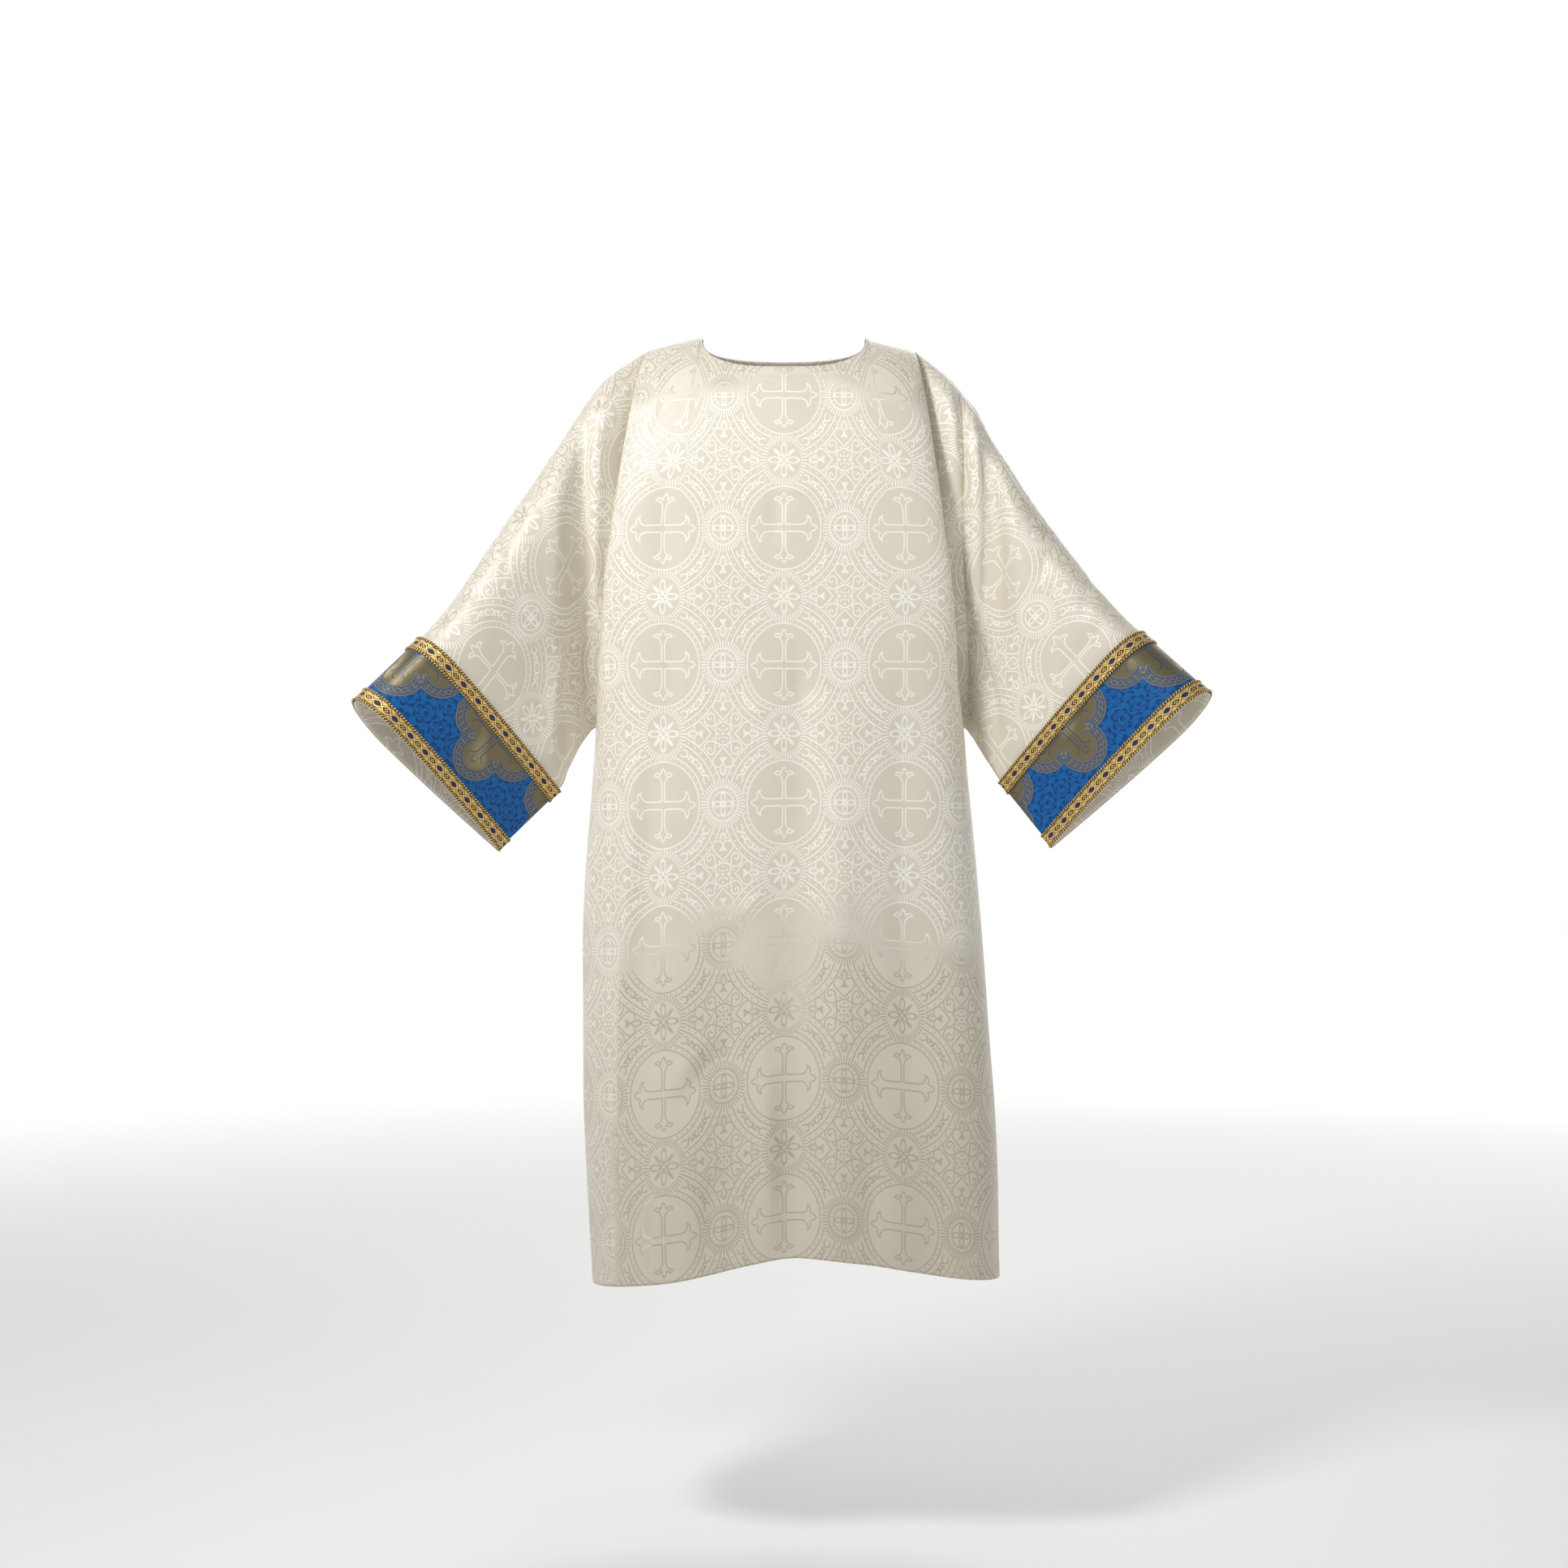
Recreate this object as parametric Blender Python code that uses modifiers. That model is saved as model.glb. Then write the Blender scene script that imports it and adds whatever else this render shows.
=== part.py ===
"""A dalmatic, the wide-sleeved vestment of a deacon, as worn: open neck, cuffs and hem.

Every cut-and-sewn piece is a thin wall of its own. Metres, +Z up, the front faces -Y, and
left and right in the names are the wearer's. The origin lies midway along the shoulder line.
"""
import math
from collections import namedtuple

import bmesh
import bpy
from mathutils import Vector

# Thicknesses and clearances
CLOTH = 0.0015
BRAID = 0.0012
SEAM_GAP = 0.0003
# The walls' square edges lean at the shoulder line, so they stop a little further apart there
RIDGE_GAP = 0.0008

# Heights, from the neck points of the shoulder line
ARMPIT_HEIGHT = -0.5056
YOKE_BASE = -0.26
COLLAR_RISE = 0.012
FRONT_NECK_DROP = 0.0493
BACK_NECK_DROP = 0.0200

# Neck opening and shoulders: half widths, slope, and how square their curves are
NECK_HALF = 0.106
NECK_POWER = 2.75
SHOULDER_SLOPE = 0.25
YOKE_POWER = 2.3
YOKE_LEAN = 0.4
FOLD_INSET = 0.006

# How square a body panel is in plan, at the wearer's right and left
Squareness = namedtuple("Squareness", "right left")
FRONT_SQUARENESS = Squareness(2.6, 3.4)
BACK_SQUARENESS = Squareness(2.6, 2.8)

# Cuff: a brocade band with a braid along each edge
CUFF_DEPTH = 0.116
BRAID_WIDTH = 0.021
BAND_INSET = 0.003

# Grid counts of the walls
NECK_COLUMNS = 6
SHOULDER_COLUMNS = 7
TUCK_COLUMNS = 2
SKIRT_ROWS = 11
CHEST_ROWS = 5
YOKE_ROWS = 7
RINGS_PER_ROW = 2
CUFF_RINGS = 2
BAND_RINGS = 4
BRAID_RINGS = 1
NORMAL_STEP = 0.02

# One level of a body panel: half widths and depths from the middle plane, and how far the
# armhole edge is tucked in behind the fold that hangs from the shoulder
Level = namedtuple("Level", "height left right depth edge tuck_in tuck_back")
FRONT_LEVELS = [
    Level(-1.220, 0.245, 0.277, 0.165, 0.030, 0.000, 0.030),
    Level(-1.040, 0.257, 0.274, 0.158, 0.030, 0.000, 0.030),
    Level(-0.870, 0.260, 0.262, 0.150, 0.030, 0.000, 0.030),
    Level(-0.700, 0.256, 0.248, 0.141, 0.031, 0.000, 0.031),
    Level(-0.560, 0.246, 0.235, 0.133, 0.034, 0.000, 0.034),
    Level(-0.5056, 0.242, 0.230, 0.131, 0.038, 0.000, 0.038),
    Level(-0.450, 0.238, 0.222, 0.129, 0.062, 0.008, 0.038),
    Level(-0.380, 0.234, 0.218, 0.128, 0.082, 0.015, 0.036),
    Level(-0.310, 0.227, 0.211, 0.127, 0.092, 0.019, 0.034),
    Level(-0.260, 0.219, 0.203, 0.125, 0.095, 0.021, 0.034),
]
BACK_LEVELS = [
    Level(-1.220, 0.245, 0.277, 0.152, 0.030, 0.000, 0.030),
    Level(-1.040, 0.257, 0.274, 0.146, 0.030, 0.000, 0.030),
    Level(-0.870, 0.260, 0.262, 0.138, 0.030, 0.000, 0.030),
    Level(-0.700, 0.256, 0.248, 0.127, 0.031, 0.000, 0.031),
    Level(-0.560, 0.246, 0.235, 0.119, 0.034, 0.000, 0.034),
    Level(-0.5056, 0.242, 0.230, 0.118, 0.038, 0.000, 0.038),
    Level(-0.450, 0.238, 0.224, 0.119, 0.056, 0.007, 0.036),
    Level(-0.380, 0.235, 0.221, 0.121, 0.072, 0.012, 0.034),
    Level(-0.310, 0.230, 0.216, 0.122, 0.080, 0.015, 0.032),
    Level(-0.260, 0.224, 0.210, 0.120, 0.082, 0.016, 0.032),
]

# The hem's height at places across the body, from the viewer's left to right
HemPlace = namedtuple("HemPlace", "across front back")
HEM = [
    HemPlace(-1.00, -1.2205, -1.2205),
    HemPlace(-0.66, -1.2080, -1.2240),
    HemPlace(-0.38, -1.1940, -1.2200),
    HemPlace(0.04, -1.1728, -1.2130),
    HemPlace(0.36, -1.1797, -1.2160),
    HemPlace(0.70, -1.1975, -1.2180),
    HemPlace(1.00, -1.2105, -1.2105),
]

# Soft folds of the hanging body, each a trough or a ridge that grows towards the hem
FOLD_GROWTH = 1.6
Drape = namedtuple("Drape", "top_x top_z low_x low_z width rise")
FRONT_DRAPES = [
    Drape(-0.150, -0.50, -0.130, -1.22, 0.034, 0.006),
    Drape(-0.075, -0.62, -0.060, -1.22, 0.030, -0.007),
    Drape(0.020, -0.38, 0.000, -1.22, 0.030, -0.008),
    Drape(0.085, -0.42, 0.060, -1.22, 0.036, 0.007),
    Drape(0.170, -0.55, 0.185, -1.22, 0.034, -0.007),
]
BACK_DRAPES = [
    Drape(-0.140, -0.34, -0.165, -1.22, 0.034, 0.010),
    Drape(-0.085, -0.38, -0.095, -1.22, 0.032, -0.011),
    Drape(-0.020, -0.30, -0.015, -1.22, 0.034, 0.010),
    Drape(0.050, -0.36, 0.065, -1.22, 0.032, -0.011),
    Drape(0.120, -0.32, 0.145, -1.22, 0.034, 0.010),
]

# One ring of a sleeve, from its top to its low point, and how far it bellies to the front
# and to the back; the first ring is the armhole itself
Ring = namedtuple("Ring", "along top low front back seam")
RIGHT_RINGS = [
    Ring(0.000, (-0.180, 0.000, -0.017), (-0.2420, 0.000, -0.5056), 0.000, 0.000, 0.00),
    Ring(0.056, (-0.229, -0.019, -0.055), (-0.2515, -0.005, -0.511), 0.070, 0.064, 0.04),
    Ring(0.090, (-0.254, -0.032, -0.088), (-0.2560, -0.011, -0.517), 0.051, 0.046, 0.07),
    Ring(0.124, (-0.272, -0.043, -0.119), (-0.2600, -0.018, -0.523), 0.058, 0.052, 0.09),
    Ring(0.221, (-0.322, -0.071, -0.200), (-0.2655, -0.028, -0.533), 0.057, 0.048, 0.11),
    Ring(0.321, (-0.376, -0.100, -0.285), (-0.2710, -0.037, -0.546), 0.056, 0.045, 0.12),
    Ring(0.403, (-0.422, -0.127, -0.359), (-0.2795, -0.046, -0.565), 0.055, 0.044, 0.12),
    Ring(0.459, (-0.457, -0.145, -0.402), (-0.2895, -0.056, -0.588), 0.053, 0.044, 0.12),
    Ring(0.575, (-0.533, -0.180, -0.481), (-0.3650, -0.091, -0.664), 0.052, 0.044, 0.12),
]
LEFT_RINGS = [
    Ring(0.000, (0.170, 0.000, -0.019), (0.2300, 0.000, -0.5056), 0.000, 0.000, 0.00),
    Ring(0.050, (0.213, -0.016, -0.052), (0.2395, -0.005, -0.511), 0.070, 0.062, 0.04),
    Ring(0.072, (0.228, -0.024, -0.071), (0.2435, -0.010, -0.517), 0.052, 0.047, 0.06),
    Ring(0.104, (0.248, -0.035, -0.100), (0.2475, -0.016, -0.523), 0.066, 0.058, 0.08),
    Ring(0.142, (0.268, -0.049, -0.139), (0.2510, -0.022, -0.530), 0.054, 0.050, 0.09),
    Ring(0.216, (0.305, -0.071, -0.203), (0.2555, -0.029, -0.538), 0.058, 0.049, 0.11),
    Ring(0.319, (0.362, -0.100, -0.288), (0.2600, -0.036, -0.547), 0.057, 0.045, 0.12),
    Ring(0.398, (0.412, -0.127, -0.355), (0.2680, -0.045, -0.560), 0.055, 0.044, 0.12),
    Ring(0.452, (0.449, -0.145, -0.395), (0.2785, -0.055, -0.577), 0.053, 0.044, 0.12),
    Ring(0.568, (0.528, -0.180, -0.471), (0.3420, -0.091, -0.660), 0.052, 0.044, 0.12),
]

# The rounded top of a sleeve takes this share of its height, and its points crowd there
TOP_SHARE = 0.20
CROWDING = 1.8
HANG_POWER = 1.5
# Front and back walls stand apart at the pressed underarm edge and at the overarm seam
EDGE_SPREAD = 0.0014
SEAM_TURN = 0.0012
# The sleeve leaves the armhole behind the body's tucked edge, a little way below the shoulder
ARMHOLE_STEP = 0.0022
ARMHOLE_TOP_SHARE = 0.15
# A point of a band is moved out by no more than this many band offsets at a sharp turn
SHARP_TURN = 2.0

# Colours of the materials, and their roughness and metallic value
Finish = namedtuple("Finish", "colour roughness metallic")
DAMASK = Finish((0.78, 0.74, 0.62, 1.0), 0.55, 0.0)
BROCADE = Finish((0.005, 0.12, 0.42, 1.0), 0.50, 0.1)
GOLD_BRAID = Finish((0.50, 0.30, 0.06, 1.0), 0.45, 0.4)


def clear_scene():
    for item in list(bpy.data.objects):
        bpy.data.objects.remove(item, do_unlink=True)


def make_material(name, finish):
    material = bpy.data.materials.new(name)
    material.use_nodes = True
    shader = material.node_tree.nodes["Principled BSDF"]
    shader.inputs["Base Color"].default_value = finish.colour
    shader.inputs["Roughness"].default_value = finish.roughness
    shader.inputs["Metallic"].default_value = finish.metallic
    return material


def ease(t):
    t = min(max(t, 0.0), 1.0)
    return t * t * (3.0 - 2.0 * t)


def smooth_between(places, values, at):
    """A smooth curve through values, which stand at rising places, read at one place."""
    last = len(places) - 1
    if at <= places[0]:
        return values[0]
    if at >= places[last]:
        return values[last]
    i = max(k for k in range(last) if places[k] <= at)

    def slope(k):
        before = max(k - 1, 0)
        after = min(k + 1, last)
        return (values[after] - values[before]) * (1.0 / (places[after] - places[before]))

    span = places[i + 1] - places[i]
    t = (at - places[i]) / span
    rise = t * t * (3.0 - 2.0 * t)
    lead = t * (1.0 - t) ** 2 * span
    trail = t * t * (t - 1.0) * span
    return values[i] * (1.0 - rise) + values[i + 1] * rise + slope(i) * lead + slope(i + 1) * trail


def read_row(rows, place_name, value_name, at):
    places = [getattr(row, place_name) for row in rows]
    values = [getattr(row, value_name) for row in rows]
    return smooth_between(places, values, at)


class BodyPanel:
    """The front or the back, from hem to shoulder, as a surface of (side, across, up).

    across runs from 0 in the middle to 1 below the neck point, 2 at the fold that hangs from
    the shoulder and 3 at the armhole edge, which is the side seam below the armpit. up runs
    from 0 at the hem to 1 at the armpit and 2 at the shoulder line or the neckline.
    """

    def __init__(self, facing, levels, hem_column, drapes, neck_drop, squareness):
        self.facing = facing
        self.levels = levels
        self.hem_column = hem_column
        self.drapes = drapes
        self.neck_drop = neck_drop
        self.square = {-1: squareness.right, 1: squareness.left}

    def level_point(self, side, across, height):
        half = read_row(self.levels, "height", "left" if side < 0 else "right", height)
        depth = read_row(self.levels, "height", "depth", height)
        edge = read_row(self.levels, "height", "edge", height)
        if across <= 2.0:
            reach = NECK_HALF / (shoulder_half(side) - FOLD_INSET)
            turn = math.asin(reach)
            if across <= 1.0:
                angle = across * turn
            else:
                angle = turn + (across - 1.0) * (math.pi / 2 - turn)
            share = math.sin(angle)
            power = self.square[side]
            out = edge + (depth - edge) * max(1.0 - share ** power, 0.0) ** (1.0 / power)
            out += self.drape(side * half * share, height)
            return Vector((side * half * share, self.facing * out, height))
        tuck_in = read_row(self.levels, "height", "tuck_in", height)
        tuck_back = read_row(self.levels, "height", "tuck_back", height)
        t = across - 2.0
        inward = tuck_in * t * t
        back = tuck_back * t
        out = max(edge - back, SEAM_GAP / 2)
        return Vector((side * (half - inward), self.facing * out, height))

    def drape(self, x, z):
        total = 0.0
        for fold in self.drapes:
            t = (fold.top_z - z) / (fold.top_z - fold.low_z)
            if t > 0.0:
                middle = fold.top_x + (fold.low_x - fold.top_x) * t
                grown = ease(FOLD_GROWTH * t)
                total += fold.rise * grown * math.exp(-((x - middle) / fold.width) ** 2)
        return total

    def yoke_point(self, side, across, climb):
        base = self.level_point(side, across, YOKE_BASE)
        fold_half = shoulder_half(side) - FOLD_INSET
        if across <= 1.0:
            share = math.sin(across * math.pi / 2)
            end_x = NECK_HALF * share
            end_z = -self.neck_drop * max(1.0 - share ** NECK_POWER, 0.0) ** (1.0 / NECK_POWER)
        elif across <= 2.0:
            end_x = NECK_HALF + (fold_half - NECK_HALF) * (across - 1.0)
            end_z = ridge_height(end_x)
        else:
            end_x = fold_half + FOLD_INSET * (across - 2.0)
            end_z = ridge_height(end_x)
        ridge = max(ridge_height(end_x), end_z)
        rise = ridge - YOKE_BASE
        last_angle = math.asin(((end_z - YOKE_BASE) / rise) ** (YOKE_POWER / 2))
        angle = climb * last_angle
        z = YOKE_BASE + rise * math.sin(angle) ** (2 / YOKE_POWER)
        out = abs(base.y) * max(math.cos(angle), 0.0) ** (2 / YOKE_POWER)
        lean = climb * (1.0 + YOKE_LEAN * (1.0 - climb))
        x = abs(base.x) + (end_x - abs(base.x)) * lean
        return Vector((side * x, self.facing * max(out, RIDGE_GAP / 2), z))

    def point(self, side, across, up):
        if up <= 1.0:
            half = read_row(self.levels, "height", "left" if side < 0 else "right", HEM[0].front)
            x = self.level_point(side, min(across, 2.0), HEM[0].front).x
            hem = read_row(HEM, "across", self.hem_column, x / half)
            return self.level_point(side, across, hem + (ARMPIT_HEIGHT - hem) * up)
        chest_share = CHEST_ROWS / (CHEST_ROWS + YOKE_ROWS)
        climb = up - 1.0
        if climb <= chest_share:
            height = ARMPIT_HEIGHT + (YOKE_BASE - ARMPIT_HEIGHT) * climb / chest_share
            return self.level_point(side, across, height)
        return self.yoke_point(side, across, (climb - chest_share) / (1.0 - chest_share))

    def outward(self, side, across, up):
        """The direction that points out of the cloth, away from the body."""
        low = self.point(side, across, max(up - NORMAL_STEP, 0.0))
        high = self.point(side, across, min(up + NORMAL_STEP, 2.0))
        inner = self.point(side, across - NORMAL_STEP, up)
        outer = self.point(side, min(across + NORMAL_STEP, 3.0), up)
        return ((high - low).cross(outer - inner) * side * self.facing).normalized()


def shoulder_half(side):
    rings = RIGHT_RINGS if side < 0 else LEFT_RINGS
    return abs(rings[0].top[0])


def ridge_height(x):
    """Height of the shoulder line at a distance from the middle."""
    if x < NECK_HALF:
        return COLLAR_RISE * (1.0 - x / NECK_HALF)
    return -SHOULDER_SLOPE * (x - NECK_HALF)


class Sleeve:
    """One sleeve, as a surface of (around, along) for its front and its back half."""

    def __init__(self, side, rings, front, back):
        self.side = side
        self.rings = rings
        self.panels = {-1: front, 1: back}
        first = Vector(rings[-2].top) + Vector(rings[-2].low)
        last = Vector(rings[-1].top) + Vector(rings[-1].low)
        axis = (last - first).normalized()
        ahead = Vector((0.0, -1.0, 0.0))
        self.ahead = (ahead - axis * ahead.dot(axis)).normalized()
        self.cuff_start = rings[-2].along
        self.cuff_end = rings[-1].along

    def belly_direction(self, ring):
        share = ease(ring.along / self.cuff_start)
        return Vector((0.0, -1.0, 0.0)).lerp(self.ahead, share).normalized()

    def ring_point(self, ring, facing, turn):
        """A point of one ring: turn runs from 0 at the top to 1 at the low edge."""
        drop = turn ** CROWDING
        if drop < TOP_SHARE:
            belly = math.sqrt(1.0 - (1.0 - drop / TOP_SHARE) ** 2)
        else:
            belly = 1.0 - ((drop - TOP_SHARE) / (1.0 - TOP_SHARE)) ** HANG_POWER
        depth = ring.front if facing < 0 else ring.back
        out = depth * belly + EDGE_SPREAD * drop
        top = Vector(ring.top)
        low = Vector(ring.low)
        return top + (low - top) * drop - self.belly_direction(ring) * facing * out

    def armhole_point(self, facing, down):
        """The body's armhole edge, moved clear of it; down is 0 at the shoulder."""
        panel = self.panels[facing]
        edge = panel.point(self.side, 3.0, 2.0 - down)
        step = ARMHOLE_STEP * ease(down / ARMHOLE_TOP_SHARE)
        clear = panel.outward(self.side, 3.0, 2.0 - down) * step
        spread = facing * EDGE_SPREAD * down ** 3
        return edge + clear + Vector((self.side * SEAM_GAP * 2, spread, 0.0))

    def half_ring_point(self, ring, facing, down):
        """down runs from 0 at the overarm seam to 1 at the underarm seam."""
        if ring.along == 0.0:
            return self.armhole_point(facing, down)
        if facing < 0:
            first = ring.seam + SEAM_TURN
            return self.ring_point(ring, -1, first + (1.0 - first) * down)
        reach = (1.0 - down) * (1.0 + ring.seam - SEAM_TURN)
        if reach <= 1.0:
            return self.ring_point(ring, 1, 1.0 - reach)
        return self.ring_point(ring, -1, reach - 1.0)

    def half_point(self, facing, down, along):
        places = [ring.along for ring in self.rings]
        points = [self.half_ring_point(ring, facing, down) for ring in self.rings]
        if along > self.cuff_start:
            share = (along - self.cuff_start) / (self.cuff_end - self.cuff_start)
            return points[-2].lerp(points[-1], share)
        return smooth_between(places, points, along)


def grid_mesh(name, rows, closed=False):
    """An open sheet of quads through rows of points, its rows closed into rings or not."""
    work = bmesh.new()
    grid = [[work.verts.new(point) for point in row] for row in rows]
    count = len(rows[0])
    for lower, upper in zip(grid, grid[1:]):
        for i in range(count if closed else count - 1):
            k = (i + 1) % count
            work.faces.new((lower[i], lower[k], upper[k], upper[i]))
    mesh = bpy.data.meshes.new(name)
    work.to_mesh(mesh)
    work.free()
    mesh.shade_smooth()
    return mesh


def add_wall(name, rows, finish, thickness, collection, closed=False):
    """A cloth wall: the sheet with a thickness about its middle."""
    item = bpy.data.objects.new(name, grid_mesh(name, rows, closed))
    collection.objects.link(item)
    item.data.materials.append(make_material(name, finish))
    wall = item.modifiers.new("cloth thickness", "SOLIDIFY")
    wall.thickness = thickness
    wall.offset = 0.0
    wall.use_even_offset = False
    wall.use_quality_normals = True
    return item


def across_steps():
    neck = [i / NECK_COLUMNS for i in range(NECK_COLUMNS)]
    shoulder = [1.0 + i / SHOULDER_COLUMNS for i in range(SHOULDER_COLUMNS)]
    tuck = [2.0 + i / TUCK_COLUMNS for i in range(TUCK_COLUMNS + 1)]
    return neck + shoulder + tuck


def up_steps():
    skirt = [i / SKIRT_ROWS for i in range(SKIRT_ROWS)]
    above = CHEST_ROWS + YOKE_ROWS
    return skirt + [1.0 + i / above for i in range(above + 1)]


def body_rows(panel):
    half = across_steps()
    rows = []
    for up in up_steps():
        left = [panel.point(-1, across, up) for across in reversed(half)]
        right = [panel.point(1, across, up) for across in half[1:]]
        rows.append(left + right)
    if panel.facing > 0:
        rows = [row[::-1] for row in rows]
    return rows


def sleeve_rows(sleeve, facing):
    columns = CHEST_ROWS + YOKE_ROWS
    places = []
    for before, after in zip(sleeve.rings, sleeve.rings[1:]):
        steps = CUFF_RINGS if after is sleeve.rings[-1] else RINGS_PER_ROW
        for i in range(steps):
            places.append(before.along + (after.along - before.along) * i / steps)
    places.append(sleeve.cuff_end)
    rows = []
    for along in places:
        row = [sleeve.half_point(facing, i / columns, along) for i in range(columns + 1)]
        rows.append(row[::-1] if facing * sleeve.side > 0 else row)
    return rows


def moved_out(rows, distance):
    """Closed rings of points, moved out along the cloth's own normals."""
    count = len(rows[0])
    result = []
    for r, row in enumerate(rows):
        before = rows[max(r - 1, 0)]
        after = rows[min(r + 1, len(rows) - 1)]
        moved = []
        for i, point in enumerate(row):
            along = after[i] - before[i]
            arrive = (point - row[i - 1]).cross(along).normalized()
            leave = (row[(i + 1) % count] - point).cross(along).normalized()
            normal = (arrive + leave).normalized()
            stretch = min(1.0 / normal.dot(leave), SHARP_TURN)
            moved.append(point + normal * distance * stretch)
        result.append(moved)
    return result


def cuff_rows(sleeve, start, end, steps, distance):
    """Rings of a band round the cuff, from start to end, outside the sleeve's wall."""
    columns = CHEST_ROWS + YOKE_ROWS
    rows = []
    for k in range(steps + 1):
        along = sleeve.cuff_start + start + (end - start) * k / steps
        down_front = [sleeve.half_point(-1, i / columns, along) for i in range(columns + 1)]
        up_back = [sleeve.half_point(1, i / columns, along) for i in range(columns, 0, -1)]
        row = down_front + up_back
        rows.append(row if sleeve.side > 0 else row[::-1])
    return moved_out(rows, distance)


def build_body(collection):
    front = BodyPanel(-1, FRONT_LEVELS, "front", FRONT_DRAPES, FRONT_NECK_DROP, FRONT_SQUARENESS)
    back = BodyPanel(1, BACK_LEVELS, "back", BACK_DRAPES, BACK_NECK_DROP, BACK_SQUARENESS)
    add_wall("front", body_rows(front), DAMASK, CLOTH, collection)
    add_wall("back", body_rows(back), DAMASK, CLOTH, collection)
    return front, back


def build_sleeve(name, sleeve, collection):
    for facing, half in ((-1, "front"), (1, "back")):
        rows = sleeve_rows(sleeve, facing)
        add_wall("sleeve_" + name + "_" + half, rows, DAMASK, CLOTH, collection)
    band_out = CLOTH / 2 + SEAM_GAP + BRAID / 2
    braid_out = band_out + BRAID + SEAM_GAP
    band = cuff_rows(sleeve, BAND_INSET, CUFF_DEPTH - BAND_INSET, BAND_RINGS, band_out)
    add_wall("cuff_band_" + name, band, BROCADE, BRAID, collection, closed=True)
    for place, start in (("upper", 0.0), ("lower", CUFF_DEPTH - BRAID_WIDTH)):
        rows = cuff_rows(sleeve, start, start + BRAID_WIDTH, BRAID_RINGS, braid_out)
        add_wall("braid_" + name + "_" + place, rows, GOLD_BRAID, BRAID, collection, closed=True)


def main():
    clear_scene()
    collection = bpy.data.collections.new("dalmatic")
    bpy.context.scene.collection.children.link(collection)
    front, back = build_body(collection)
    build_sleeve("right", Sleeve(-1, RIGHT_RINGS, front, back), collection)
    build_sleeve("left", Sleeve(1, LEFT_RINGS, front, back), collection)


main()
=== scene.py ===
"""The looks of a worn dalmatic: damask cloth with its folds, brocade cuffs and gold braid.

Metres, +Z up, the front faces -Y, and left and right in the names are the wearer's.
"""
import math
from collections import namedtuple

import bpy
import numpy as np
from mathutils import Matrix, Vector, noise


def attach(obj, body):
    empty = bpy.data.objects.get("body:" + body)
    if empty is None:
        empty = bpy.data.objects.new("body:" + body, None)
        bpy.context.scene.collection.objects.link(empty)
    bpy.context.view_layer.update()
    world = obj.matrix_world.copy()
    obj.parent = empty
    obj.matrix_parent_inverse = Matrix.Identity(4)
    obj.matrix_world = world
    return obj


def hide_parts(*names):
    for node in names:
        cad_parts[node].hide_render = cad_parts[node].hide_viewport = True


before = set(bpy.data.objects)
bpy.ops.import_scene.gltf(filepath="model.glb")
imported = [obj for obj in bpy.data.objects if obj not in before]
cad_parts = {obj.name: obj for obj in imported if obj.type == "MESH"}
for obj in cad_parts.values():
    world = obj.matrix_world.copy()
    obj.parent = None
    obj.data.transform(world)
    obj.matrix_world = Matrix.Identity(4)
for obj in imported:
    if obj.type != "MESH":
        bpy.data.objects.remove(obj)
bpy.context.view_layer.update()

# Thicknesses and clearances of the sewn pieces
CLOTH = 0.0015
BRAID = 0.0012
SEAM_GAP = 0.0003
RIDGE_GAP = 0.0008
# The shells are a little thinner than the room that the pieces have
CLOTH_SHELL = 0.0009
BAND_SHELL = 0.0010
BRAID_SHELL = 0.0008

# Heights above the shoulder line, all below it
ARMPIT_HEIGHT = -0.5056
YOKE_BASE = -0.26

# The neck and the shoulders: the powers give the squareness of the curves
NECK_HALF = 0.106
COLLAR_RISE = 0.012
COLLAR_SLOPE = 0.113
SHOULDER_SLOPE = 0.25
NECK_POWER = 2.75
YOKE_POWER = 2.3
YOKE_LEAN = 0.4
FOLD_INSET = 0.006
FRONT_NECK_DROP = 0.0493
BACK_NECK_DROP = 0.0200
CHEST_SHARE = 5 / 12

# The body's cross section is squarer on one side
Squareness = namedtuple("Squareness", "right left")
FRONT_SQUARENESS = Squareness(2.6, 3.4)
BACK_SQUARENESS = Squareness(2.6, 2.8)
# The step on the surface from which its outward direction is read
NORMAL_STEP = 0.02

# Cuff: a brocade band with a braid along each edge
CUFF_DEPTH = 0.116
BRAID_WIDTH = 0.021
BAND_INSET = 0.003

# Grid counts of the fine cloth
NECK_COLUMNS = 24
SHOULDER_COLUMNS = 34
TUCK_COLUMNS = 10
SKIRT_ROWS = 166
CHEST_ROWS = 58
YOKE_ROWS = 72
SLEEVE_COLUMNS = 90
SLEEVE_ROWS = 116
BAND_ROWS = 22
BRAID_ROWS = 20
CUFF_COLUMNS = 110
BRAID_COLUMNS = 300

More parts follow.
